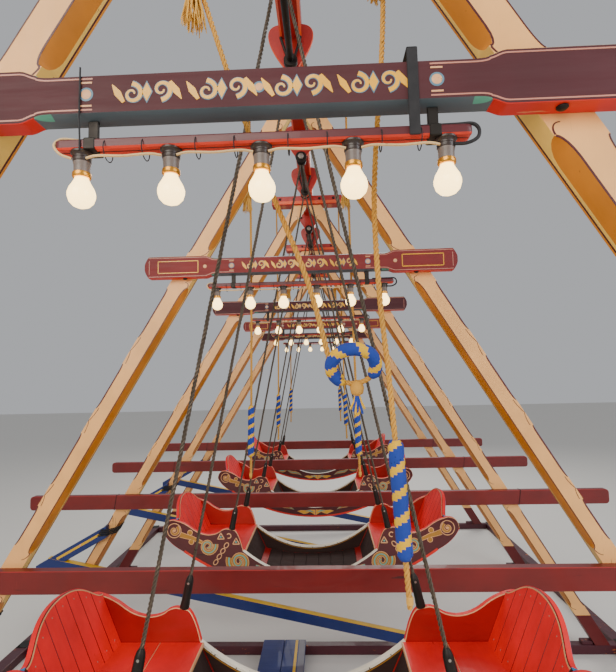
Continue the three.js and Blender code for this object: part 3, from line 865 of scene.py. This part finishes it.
CABLE_END = [(0.037, -0.014, -0.03), (0.012, -0.02, -0.02), (0.0, -0.02, 0.0), (0.012, -0.014, 0.0155),
             (0.05, -0.006, 0.0155)]
FLEX_END = [(-0.04, -0.014, -0.03), (-0.012, -0.016, -0.03), (0.011, -0.016, -0.018), (0.015, -0.014, 0.0),
            (0.006, -0.01, 0.015), (-0.03, -0.006, 0.0175), (-0.12, -0.004, 0.0165)]


def make_lamp_bar(number, y, count, pitch):
    middle = y + FRONT_Y - BOARD_THICK / 2
    half = (count - 1) * pitch / 2 + 0.054
    steps = (0, 0.002, 0.006, 0.014)
    stations = [-half + s for s in steps] + [half - s for s in reversed(steps)]
    scale = [0.6, 0.82, 0.95, 1.0, 1.0, 0.95, 0.82, 0.6]
    rings = [[Vector((x, middle + py * s, LAMP_BAR_Z + pz * s)) for py, pz in BATTEN]
             for x, s in zip(stations, scale)]
    shell = Shell()
    shell.loft(rings, lambda i, k: lamp_red if k in (-1, 0, 1, 3, 4, 5, 11) else
               (strap_black if k == 2 else lamp_maroon))
    top = BOARD_Z - SLIM - SEAT_GAP
    for hanger_x in (-0.38, 0.38):
        centre = Vector((hanger_x, middle, (top + LAMP_BAR_Z) / 2))
        shell.block(centre, (0.024, 0.008, top - LAMP_BAR_Z), iron, bevel=0.002)
        shell.block(Vector((hanger_x, middle, LAMP_BAR_Z)), (0.026, 0.0475, 0.027), iron, bevel=0.002)
    if number == 1:
        front = y + FRONT_Y - BOARD_THICK
        shell.block(Vector((0.335, front - 0.003, 3.028)), (0.024, 0.004, 0.2), strap_black, bevel=0.0015)
        shell.block(Vector((0.335, front + 0.02, 3.126)), (0.024, 0.05, 0.004), strap_black, bevel=0.0015)
        wire = [Vector((-0.4, front - 0.003, 3.115)), Vector((-0.4, front - 0.004, 3.0)),
                Vector((-0.4, middle - 0.024, 2.955)), Vector((-0.4, middle - 0.024, 2.925))]
        shell.tube(wire, 0.0022, strap_black, 6)
    low = LAMP_BAR_Z - 0.012
    for i in range(count):
        at = Vector(((i - (count - 1) / 2) * pitch, middle, low))
        for part, sides, finish in LAMP_PARTS:
            shell.lathe(part, at, Z, sides, finish)
        if i:
            before = at - X * pitch
            run = [before + Vector((0.017, -0.014, -0.018)), before + Vector((0.04, -0.02, -0.0165)),
                   before + Vector((pitch / 2, -0.02, -0.019)), at + Vector((-0.04, -0.02, -0.0165)),
                   at + Vector((-0.017, -0.014, -0.018))]
            shell.tube(catmull(run, 5), 0.0032, cable, 6)
            for tie in (0.3, 0.72):
                place = before + Vector((pitch * tie, -0.004, 0.002))
                loop = [place + Vector((0, math.cos(t) * 0.024, math.sin(t) * 0.024 - 0.001))
                        for t in turns(14)]
                shell.tube(loop, 0.0013, strap_black, 4, closed=True)
    for x, path, radius, finish, sides in ((half, FLEX_END, 0.004, strap_black, 8),
                                           (-half, CABLE_END, 0.003, cable, 6)):
        end = Vector((x, middle, LAMP_BAR_Z))
        shell.tube(catmull([end + Vector(p) for p in path], 6), radius, finish, sides)
    shell.make(f"lamps_{number}", "frame", "lamp_red", [f"lamp_bar_{number}"])


# Rails: long level timbers with worn upper edges
RAIL_HALF, RAIL_TALL, RAIL_THICK, RAIL_CORNER = 2.55, 0.061, 0.055, 0.03


def make_rail(number, y):
    half, tall, corner = RAIL_HALF, RAIL_TALL, RAIL_CORNER
    outline = []
    for cx, cz, start in ((half, -tall, -0.5), (half, tall, 0.0), (-half, tall, 0.5), (-half, -tall, 1.0)):
        sx, sz = math.copysign(corner, cx), math.copysign(corner, cz)
        for k in range(7):
            angle = math.pi * (start + k / 12)
            outline.append((cx - sx + corner * math.cos(angle), cz - sz + corner * math.sin(angle)))
    shell = Shell()
    at = Vector((0, y + FRONT_Y - RAIL_THICK, RAIL_Z))
    top_edge = lambda k: rail_edge if 7 <= k < 20 else rail_red
    shell.slab(outline, at, X, Z, Y * RAIL_THICK, rail_red, bevel=0.0035, arris=top_edge)
    for side in (-1, 1):
        tie_x = side * 1.78
        wrap = [at + Vector((tie_x + shift, depth, height)) for shift, depth, height in
                ((0, -0.002, -0.063), (0.02, -0.002, 0.063), (0.02, 0.057, 0.063), (0, 0.057, -0.063))]
        shell.tube(wrap + wrap[:1], 0.0022, strap_black, 6)
    shell.make(f"rail_{number}", "frame", "rail_red", [f"cross_rail_{number}"])


# Ground timbers, plank and brake levers
PLANK_BOARDS = 2


def make_ground():
    for index, y in enumerate(FRAME_Y):
        shell = Shell()
        low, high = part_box(f"ground_sill_{index + 1}")
        shell.block((low + high) / 2, tuple(high - low), sill_maroon, bevel=0.005)
        for side in (-1, 1):
            foot = leg_x(side, 0.08)
            shell.block(Vector((foot - side * 0.12, y, 0.09)), (0.09, 0.06, 0.03), sill_maroon, bevel=0.004)
        shell.make(f"sill_{index + 1}", "frame", "sill_maroon", [f"ground_sill_{index + 1}"])
    for name in ("left", "right"):
        shell = Shell()
        low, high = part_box(f"side_sill_{name}")
        shell.block((low + high) / 2, tuple(high - low), sill_maroon, bevel=0.006)
        for y in FRAME_Y:
            plate = Vector(((low.x + high.x) / 2, y, high.z + 0.001))
            shell.block(plate, (0.09, 0.11, 0.006), iron, bevel=0.001)
            for dx, dy in ((-0.03, -0.035), (0.03, 0.035)):
                bolt = plate + Vector((dx, dy, 0.003))
                shell.lathe([(0.009, 0), (0.009, 0.006), (0.004, 0.009)], bolt, Z, 6, iron)
        shell.make(f"long_sill_{name}", "frame", "sill_maroon", [f"side_sill_{name}"])
    shell = Shell()
    low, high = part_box("brake_plank")
    width = high.x - low.x
    each = width / PLANK_BOARDS
    for k in range(PLANK_BOARDS):
        centre = Vector((low.x + each * (k + 0.5), (low.y + high.y) / 2, (low.z + high.z) / 2))
        shell.block(centre, (each - 0.002, high.y - low.y, high.z - low.z), blue, bevel=0.004)
    top = Panel(shell, Vector((0, 0, high.z)), X, Y)
    band_from = low.x + 0.84 * width
    band = ((band_from + high.x) / 2, high.x - band_from - 0.006, grey_band)
    for x, size, finish in ((low.x + 0.79 * width, 0.022, yellow), band):
        top.line([(x, low.y + 0.01), (x, high.y - 0.01)], size, finish, 0.0012)
    shell.make("plank", "frame", "brake_blue", ["brake_plank"])


LEVER_LOW_X, LEVER_HIGH_X, LEVER_HIGH_Z = 1.3, -2.37, 0.763
ARM = [(-2.48, 0.682), (-1.85, 1.022)]
LEVER_HEIGHT = 0.09


def make_lever(number, y):
    """A long beam and an arm from its end back up to the leg, where it is lashed."""
    shell = Shell()
    at = Vector((0, y + FRONT_Y - LEVER_THICK, 0))
    upright = LEVER_HEIGHT * math.hypot(1, LEVER_HIGH_Z / (LEVER_LOW_X - LEVER_HIGH_X))
    beam = [(LEVER_LOW_X, 0.0), (LEVER_HIGH_X, LEVER_HIGH_Z), (LEVER_HIGH_X, LEVER_HIGH_Z + upright),
            (LEVER_LOW_X, upright)]
    shell.slab(beam, at, X, Z, Y * LEVER_THICK, blue, edge=lambda k: yellow if k == 2 else blue, bevel=0.004)
    (low_x, low_z), (high_x, high_z) = ARM
    arm_upright = LEVER_HEIGHT * math.hypot(1, (high_z - low_z) / (high_x - low_x))
    arm = [(low_x, low_z), (low_x, low_z + arm_upright), (high_x, high_z + arm_upright), (high_x, high_z)]
    shell.slab(arm, at + Y * 0.001, X, Z, Y * 0.058, blue, bevel=0.004)
    stripe = [(x, z + arm_upright * 0.6) for x, z in ((-2.29, 0.785), (-1.9, 0.995))]
    Panel(shell, at + Y * 0.001).line(stripe, 0.02, yellow, 0.0008)
    head = Vector((-2.08, y + FRONT_Y - 0.059, 0.96))
    shell.lathe([(0.011, 0), (0.011, 0.003), (0.004, 0.006)], head, -Y, 10, edge_cream)
    for turn in range(4):
        z = 1.055 + 0.016 * turn
        centre = leg_x(-1, z)
        near, far = centre - 0.074, centre + 0.068
        loop = [Vector((near, y + FRONT_Y - 0.066, z - 0.012)), Vector((near, y + 0.045, z)),
                Vector((far, y + 0.045, z + 0.012)), Vector((far, y - 0.045, z)),
                Vector((centre, y + FRONT_Y - 0.066, z - 0.006))]
        shell.tube(loop + loop[:1], 0.006, strap_black, 8)
    shell.make(f"lever_{number}", "frame", "brake_blue", [f"brake_lever_{number}"])


# The count of lamps on a bar and their pitch
NEAR_LAMPS, LAMPS = (5, 0.203), (6, 0.19)
for index, y in enumerate(FRAME_Y):
    make_head(index + 1, y)
    make_board(index + 1, y)
    make_rail(index + 1, y)
    make_lamp_bar(index + 1, y, *(LAMPS if index else NEAR_LAMPS))
    if index:
        make_lever(index, y)
make_ground()


# Ridge with its bearing plates, bolts and straps
def bearing_outline():
    top = RIDGE_Z + 0.08
    half = RIDGE_HALF_WIDTH
    shoulder, flank = (0.145, top - 0.01), (0.125, RIDGE_Z - 0.025)
    neck = (0.042, PIVOT_Z + 0.01)
    flip = lambda p: (-p[0], p[1])
    points = [(-half, top)]
    points += cubic((-half, top), flip(shoulder), flip(flank), flip(neck), 18)
    points += quad(flip(neck), (0, PIVOT_Z - 0.075), neck, 14)
    points += cubic(neck, flank, shoulder, (half, top), 18)
    return points


def make_ridge():
    shell = Shell()
    low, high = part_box("ridge_beam")
    half, base, top = RIDGE_HALF_WIDTH, RIDGE_Z, RIDGE_Z + RIDGE_HEIGHT
    cut = 0.012
    profile = [(-half + cut, base), (half - cut, base), (half, base + cut), (half, top - cut),
               (half - cut, top), (-half + cut, top), (-half, top - cut), (-half, base + cut)]
    ends = (low.y, low.y + 0.01, high.y - 0.01, high.y)
    rings = [[Vector((px, y, pz)) for px, pz in profile] for y in ends]
    shell.loft(rings, lambda i, k: ridge_edge if k in (1, 3, 5, 7) else ridge_red)
    outline = bearing_outline()
    for y in BOAT_Y:
        for face in (-1, 1):
            place = y + face * (BEAM / 2 + 0.04)
            shell.slab(outline, Vector((0, place - 0.007, 0)), X, Z, Y * 0.014, ridge_red,
                       edge=ridge_edge, bevel=0.003)
            out = Y * face
            shell.lathe([(0.04, 0.0068), (0.04, 0.010), (0.034, 0.012), (0.022, 0.012)],
                        Vector((0, place, PIVOT_Z)), out, 24, iron)
            for x, z in ((-0.09, 0.02), (0.09, 0.02), (-0.075, -0.03), (0.075, -0.03)):
                shell.lathe([(0.011, 0.006), (0.011, 0.013), (0.005, 0.016)],
                            Vector((x, place, RIDGE_Z + z)), out, 6, iron)
            for side in (-1, 1):
                strap = [Vector((side * x, place - face * 0.022, z)) for x, z in
                         ((0.05, RIDGE_Z - 0.002), (0.03, RIDGE_Z - 0.07), (0.012, PIVOT_Z + 0.026))]
                shell.tube(strap, 0.007, iron, 8)
    shell.make("ridge", "frame", "rail_red", ["ridge_beam"])


make_ridge()


# Boats
HULL_BOTTOM_Z, HULL_RADIUS = 1.0, 1.5
WELL_HALF = 0.445
INNER_HALF = BEAM / 2 - SIDE
BOTTOM_INSET = 0.012
BOTTOM_BOARDS, BACK_BOARDS = 17, 7
SEAT_THICK = 0.022


def hull_bottom(x, radius=HULL_RADIUS):
    return HULL_BOTTOM_Z + HULL_RADIUS - math.sqrt(radius ** 2 - x * x)


def hull_outline():
    """The side board, left to right along the bottom and back over the top."""
    foot_slope = ROD_X / (PIVOT_Z - ROD_Z)
    half = 0.021
    right = [(0.85, hull_bottom(0.85))]
    right += quad(right[-1], (0.955, 1.318), (0.988, 1.395), 8)
    bottom = len(right)
    for control, end in (((0.985, 1.47), (0.915, 1.468)), ((0.845, 1.455), (0.79, 1.412)),
                         ((0.735, 1.372), (0.675, 1.37)), ((0.62, 1.372), (ROD_X + 0.07, 1.398)),
                         ((ROD_X + 0.04, 1.412), (ROD_X + half, ROD_Z + half * foot_slope))):
        right += quad(right[-1], control, end, 7)
    right.append((ROD_X - half, ROD_Z - half * foot_slope))
    right += quad(right[-1], (ROD_X - 0.05, ROD_Z - 0.025), (WELL_HALF, SEAT_Z), 7)
    right += quad(right[-1], (0.23, 1.095), (0, 1.095), 14)
    under = [(x / 1000, hull_bottom(x / 1000)) for x in range(-800, 801, 50)]
    left = [(-x, z) for x, z in reversed(right[:-1])]
    points = under + right + left
    return points, len(under) + bottom - 1, len(points) - bottom + 1


HULL, TOP_FROM, TOP_TO = hull_outline()
WELL_FROM, WELL_TO = HULL.index((WELL_HALF, SEAT_Z)), HULL.index((-WELL_HALF, SEAT_Z))


def leaf(panel, path, width, finish, lift):
    panel.line(path, lambda t: 0.0015 + width * math.sin(math.pi * min(1.0, t * 0.9 + 0.1)), finish, lift)


def outlined(panel, path, width, accent=None):
    """An ochre band with a cream outline, and a thin accent line along its middle."""
    taper = lambda t: 1 - 0.55 * t
    panel.line(path, lambda t: width * taper(t) + 0.007, edge_cream)
    panel.line(path, lambda t: width * taper(t), ochre, 0.0011)
    if accent:
        panel.line(path, lambda t: width * taper(t) * 0.3, accent, 0.0016)


def triangle(panel, centre, size, turn):
    corners = [(centre[0] + size * math.cos(turn + t), centre[1] + size * math.sin(turn + t))
               for t in turns(3)]
    panel.polygon(corners, 0.0065, edge_cream)
    panel.disc(centre, size * 0.24, teal, 0.001, 12)


def volute(centre, radius, start, step, shrink, count):
    """A curl that winds inwards by equal steps of angle."""
    return [(centre[0] + radius * (1 - t / shrink) * math.cos(start + t * step),
             centre[1] + radius * (1 - t / shrink) * math.sin(start + t * step)) for t in range(count)]


SCALLOPS = [(0.002, 1.072), (0.002, 1.019), (0.03, 1.037), (0.056, 1.052), (0.084, 1.038), (0.118, 1.03),
            (0.145, 1.044), (0.185, 1.06), (0.15, 1.07), (0.1, 1.068), (0.05, 1.073)]
SCALLOP_X, SCALLOP_Z = 0.085, 1.053


def side_ornament(shell, y, face):
    """Traditional fairground scrollwork on one outer side, mirrored about the middle."""
    panel = Panel(shell, Vector((0, y + face * (BEAM / 2), 0)), X * -face)
    for side in (-1, 1):
        mirror = lambda points: [(side * x, z) for x, z in points]
        # Tip: a ringed volute, and a band inwards with a disc above and below it
        tip_at = (side * 0.909, 1.4)
        ring = [(tip_at[0] + 0.046 * math.cos(t), tip_at[1] + 0.046 * math.sin(t)) for t in turns(40)]
        panel.line(ring, 0.005, edge_cream, 0.0009, closed=True)
        outlined(panel, mirror(volute((0.909, 1.4), 0.033, 2.2, 0.36, 24, 22)), 0.014)
        panel.disc(tip_at, 0.009, edge_cream, 0.0018)
        link = [(0.868, 1.374), (0.83, 1.362), (0.79, 1.352), (0.75, 1.335), (0.72, 1.322)]
        outlined(panel, mirror(link), 0.03)
        for spot in mirror([(0.802, 1.386), (0.793, 1.326)]):
            panel.disc(spot, 0.0185, edge_cream, 0.0007)
            panel.disc(spot, 0.0145, ochre, 0.0013)
        # Second volute with a teal line
        outlined(panel, mirror(volute((0.68, 1.298), 0.052, 2.9, 0.3, 34, 30)), 0.028, teal)
        # Triangles, a small curl and a run of ovals
        for spot in mirror([(0.594, 1.356), (0.492, 1.322)]):
            triangle(panel, spot, 0.026, math.pi / 2)
        curl = [(0.541 + 0.015 * math.cos(0.7 + t * 0.45), 1.362 + 0.015 * math.sin(0.7 + t * 0.45))
                for t in range(11)]
        panel.line(mirror(curl), 0.0065, edge_cream, 0.0009)
        for t in range(4):
            x, z = 0.557 + 0.024 * t, 1.302 - 0.036 * t
            oval = [(x + 0.0185 * math.cos(a) * 0.55 - 0.0185 * math.sin(a) * 0.62,
                     z + 0.0185 * math.cos(a) * -0.84 + 0.0185 * math.sin(a) * -0.3) for a in turns(16)]
            panel.line(mirror(oval), 0.0055, edge_cream, 0.0009, closed=True)
        # Large volute with a teal line
        outlined(panel, mirror(volute((0.474, 1.196), 0.07, 0.4, -0.3, 42, 38)), 0.036, teal)
        # Leaf stem under the well
        stem = mirror([(0.41, 1.145), (0.36, 1.118), (0.31, 1.112), (0.26, 1.1), (0.215, 1.075)])
        small = mirror([(0.36, 1.172), (0.33, 1.158), (0.29, 1.142)])
        for path, width, finish, lift in ((stem, 0.036, edge_cream, 0.0007), (stem, 0.027, ochre, 0.0012),
                                          (stem, 0.008, teal, 0.0017), (small, 0.02, edge_cream, 0.0007),
                                          (small, 0.013, teal, 0.0012)):
            leaf(panel, path, width, finish, lift)
        # Scalloped leaves at the middle of the bottom
        for grow, finish, lift in ((0.0, edge_cream, 0.0008), (0.004, gold, 0.0014)):
            row = [(SCALLOP_X + (x - SCALLOP_X) * (1 - grow * 16),
                    SCALLOP_Z + (z - SCALLOP_Z) * (1 - grow * 50)) for x, z in SCALLOPS]
            panel.plate(mirror(row) if side > 0 else mirror(row)[::-1], finish, lift, 0.0002)
        leaf(panel, mirror([(0.02, 1.05), (0.055, 1.063), (0.1, 1.058)]), 0.012, teal, 0.002)
        rim = [(x / 100, hull_bottom(x / 100) + 0.009) for x in range(0, 88, 4)]
        panel.line(mirror(rim), 0.016, bright_red)


def top_edge(k):
    return white_strip if WELL_FROM <= k < WELL_TO else boat_red


def top_arris(k):
    in_top = TOP_FROM <= k < TOP_TO and not WELL_FROM <= k < WELL_TO
    return edge_cream if in_top else top_edge(k)


def make_sides(number, y):
    """The two side boards, painted outside and lined inside along the well."""
    sides = Shell()
    for face in (-1, 1):
        at = Vector((0, y + face * BEAM / 2, 0))
        sides.slab(HULL, at, X, Z, Y * (-face * SIDE), boat_maroon, edge=top_edge, back=inner_red,
                   bevel=0.003, arris=top_arris)
        side_ornament(sides, y, face)
        inside = Vector((0, y + face * INNER_HALF, 0))
        across = X * face
        well = [(0.443, SEAT_Z - 0.006)]
        well += quad(well[-1], (0.23, 1.089), (0, 1.089), 14)
        well += quad(well[-1], (-0.23, 1.089), (-0.443, SEAT_Z - 0.006), 14)
        Panel(sides, inside, across).line(well, 0.01, white_strip, 0.003)
        floor = [(x / 100, hull_bottom(x / 100, HULL_RADIUS - BOTTOM_INSET) + 0.031)
                 for x in range(-36, 37, 6)]
        panel_low = SEAT_Z - 0.02
        lining_panel = [(x, z - 0.003) for x, z in well]
        lining_panel += [(-0.436, panel_low)] + floor + [(0.436, panel_low)]
        lined = inside - Y * (face * 0.002)
        sides.slab(lining_panel, lined, across, Z, Y * (face * 0.0022), well_brown, bevel=0.0004)
        Panel(sides, lined, across).line([(px, pz - 0.012) for px, pz in well], 0.004, ochre, 0.0008)
        for px, pz in well[2::3]:
            spot = inside + across * px + Z * (pz - 0.001)
            sides.lathe([(0.003, 0.003), (0.003, 0.0042), (0.001, 0.005)], spot, Y * -face, 8, iron)
    sides.make(f"boat_{number}_sides", f"boat_{number}", "boat_red", [f"boat_{number}_hull"], 35)


def make_boards(number, y):
    """Bottom boards laid across under the well and the seats, then each seat with its front and back."""
    shell = Shell()
    span = 2 * INNER_HALF
    radius = HULL_RADIUS - BOTTOM_INSET
    for k in range(BOTTOM_BOARDS):
        a, b = (-0.8 + 1.6 * n / BOTTOM_BOARDS for n in (k, k + 1))
        start, end = Vector((a, 0, hull_bottom(a, radius))), Vector((b, 0, hull_bottom(b, radius)))
        along = (end - start).normalized()
        up = along.cross(Y)
        thick = min(0.03, SEAT_Z - 0.001 - max(start.z, end.z) - 0.002)
        centre = (start + end) / 2 + up * thick / 2 + Y * y
        finish = inner_red if abs(a + b) > 0.75 else well_brown
        size = ((end - start).length - 0.0025, span + 0.001, thick)
        shell.block(centre, size, finish, bevel=0.003, axes=(along, Y, up))
    for side in (-1, 1):
        low = Vector((side * 0.365, 0, hull_bottom(0.365, radius) + 0.03))
        high = Vector((side * 0.44, 0, SEAT_Z - SEAT_THICK))
        rise = (high - low).normalized()
        out = Y.cross(rise) * side
        length = (high - low).length
        centre = low + rise * length / 2 + out * 0.012 + Y * y
        shell.block(centre, (length - 0.002, span, 0.022), well_brown, bevel=0.003, axes=(rise, Y, out))
        # Two seat boards with a cream joint line and a cream front edge
        seat_from, seat_to = 0.432, 0.815
        width = (seat_to - seat_from) / 2
        for k in range(2):
            centre = Vector((side * (seat_from + width * (k + 0.5)), y, SEAT_Z - SEAT_THICK / 2))
            shell.block(centre, (width - 0.002, span, SEAT_THICK), seat_red, bevel=0.003)
        joint = Vector((side * (seat_from + width), y, SEAT_Z - 0.009))
        shell.block(joint, (0.0042, span - 0.004, 0.0155), edge_cream, bevel=0.001)
        nose = Vector((side * (seat_from + 0.001), y, SEAT_Z - 0.007))
        shell.block(nose, (0.008, span - 0.006, 0.0165), edge_cream, bevel=0.002)
        shell.block(Vector((side * 0.806, y, SEAT_Z - 0.0165)), (0.022, span, 0.011), inner_red, bevel=0.002)
        seat_back(shell, y, side, INNER_HALF)
    shell.make(f"boat_{number}_boards", f"boat_{number}", "boat_red", (), 35)


def back_height(v, half):
    """Height of the back's top edge at a place across it."""
    points = [(half, BACK_CORNER)]
    points += cubic(points[0], (half - 0.06, BACK_CORNER), (half - 0.09, BACK_MIDDLE), (0, BACK_MIDDLE), 30)
    points = [(abs(a), b) for a, b in points]
    away = min(abs(v), half)
    for (a, za), (b, zb) in zip(points, points[1:]):
        if b <= away <= a:
            return za + (zb - za) * ((a - away) / max(1e-6, a - b))
    return BACK_MIDDLE


def seat_back(shell, y, side, half):
    """Narrow boards up the lean, with a cream line inside the rim and a blue outer edge."""
    up = Vector((side * math.sin(BACK_LEAN), 0, math.cos(BACK_LEAN)))
    out = Vector((side * math.cos(BACK_LEAN), 0, -math.sin(BACK_LEAN)))
    origin = Vector((side * SEAT_BACK_X, y, SEAT_Z))
    for k in range(BACK_BOARDS):
        a = -half + 2 * half * k / BACK_BOARDS + 0.0007
        b = -half + 2 * half * (k + 1) / BACK_BOARDS - 0.0007
        outline = [(a, -0.008), (b, -0.008)]
        outline += [(b + (a - b) * t / 6, back_height(b + (a - b) * t / 6, half)) for t in range(7)]
        shell.slab(outline, origin, Y, up, out * 0.024, boat_red, edge=joint_dark, back=inner_red,
                   bevel=0.0016)
        for height in (0.03, back_height((a + b) / 2, half) - 0.035):
            spot = origin + Y * ((a + b) / 2) + up * height
            shell.lathe([(0.0032, -0.0005), (0.0032, 0.0008), (0.001, 0.0016)], spot, -out, 8, pink_line)
    steps = [-half + 2 * half * t / 40 for t in range(41)]
    rim = [(-side * v, back_height(v, half) - 0.0045) for v in steps]
    Panel(shell, origin, Y * -side, up).line(rim, 0.005, edge_cream, 0.001)
    rings = []
    for v in steps:
        top = origin + Y * v + up * (back_height(v, half) + 0.0008)
        rings.append([top + out * across + up * rise for across, rise in
                      ((0.0025, 0), (0.0025, 0.0022), (0.023, 0.0022), (0.0262, -0.002), (0.0262, -0.02),
                       (0.0235, -0.02))])
    shell.loft(rings, lambda i, k: boat_red if k in (0, 1) else mid_blue)


def make_rods(number, y):
    shell = Shell()
    reach = BEAM / 2 + 0.06
    spindle = [(0.004, -reach - 0.004), (0.0125, -reach), (0.016, -reach + 0.006), (0.016, reach - 0.006),
               (0.0125, reach), (0.004, reach + 0.004)]
    shell.lathe(spindle, Vector((0, y, PIVOT_Z)), Y, 20, iron)
    for face in (-1, 1):
        place = y + face * (BEAM / 2 - SIDE / 2)
        eye = [(0.022, -0.017), (0.032, -0.0165), (0.034, -0.013), (0.034, 0.013), (0.032, 0.0165),
               (0.022, 0.017)]
        shell.lathe(eye, Vector((0, place, PIVOT_Z)), Y, 24, iron)
        shell.lathe([(0.021, 0.004), (0.021, 0.018), (0.016, 0.02)],
                    Vector((0, y + face * (BEAM / 2 + 0.0475), PIVOT_Z)), Y * face, 6, steel)
        for side in (-1, 1):
            foot = Vector((side * ROD_X, place, ROD_Z + SEAT_GAP))
            top = Vector((0, place, PIVOT_Z))
            along = (top - foot).normalized()
            rod = [foot + along * 0.125, top - along * 0.022]
            laid_rope(shell, rod, ROD_RADIUS, 0.05, wire_iron, 5, 0.008)
            sleeve = [(0.0205, 0), (0.0205, 0.02), (0.019, 0.03), (0.0185, 0.08), (0.0175, 0.115),
                      (0.0145, 0.13), (0.0095, 0.14), (0.0082, 0.143)]
            shell.lathe(sleeve, foot, along, 18, iron)
            pin = foot + along * 0.112
            shell.lathe([(0.005, -0.0185), (0.005, 0.0185)], pin, Y, 10, steel)
    shell.make(f"boat_{number}_hangers", f"boat_{number}", "rod_iron", [f"boat_{number}_rods"])


for index, y in enumerate(BOAT_Y):
    make_sides(index + 1, y)
    make_boards(index + 1, y)
    make_rods(index + 1, y)


# Plain floor and soft light. Each light has its place, power, size and tint
FLOOR_HALF = 30
LIGHTS = (("key", (-2.5, -8.5, 5.0), 520, 5, (1, 0.93, 0.82)),
          ("fill", (5.5, -5.5, 4.0), 260, 4, (0.92, 0.95, 1)),
          ("back", (1.0, 7.5, 7.0), 420, 5, (1, 0.97, 0.92)))


def make_stage():
    mesh = bpy.data.meshes.new("floor")
    corners = [(x * FLOOR_HALF, y * FLOOR_HALF, 0) for x, y in ((-1, -1), (1, -1), (1, 1), (-1, 1))]
    mesh.from_pydata(corners, [], [(0, 1, 2, 3)])
    floor = bpy.data.objects.new("floor", mesh)
    bpy.context.scene.collection.objects.link(floor)
    material = bpy.data.materials.new("floor")
    material.use_nodes = True
    shader = material.node_tree.nodes["Principled BSDF"]
    shader.inputs["Base Color"].default_value = linear("#d9d6d0")
    shader.inputs["Roughness"].default_value = 0.9
    mesh.materials.append(material)
    world = bpy.data.worlds.new("studio")
    world.use_nodes = True
    world.node_tree.nodes["Background"].inputs["Color"].default_value = (0.9, 0.92, 0.96, 1)
    world.node_tree.nodes["Background"].inputs["Strength"].default_value = 0.5
    bpy.context.scene.world = world
    for name, place, power, reach, tint in LIGHTS:
        data = bpy.data.lights.new(name, "AREA")
        data.energy = power
        data.size = reach
        data.color = tint
        light = bpy.data.objects.new(name, data)
        light.location = place
        light.rotation_euler = (Vector((0, 0, 1.8)) - Vector(place)).to_track_quat("-Z", "Y").to_euler()
        bpy.context.scene.collection.objects.link(light)


make_stage()
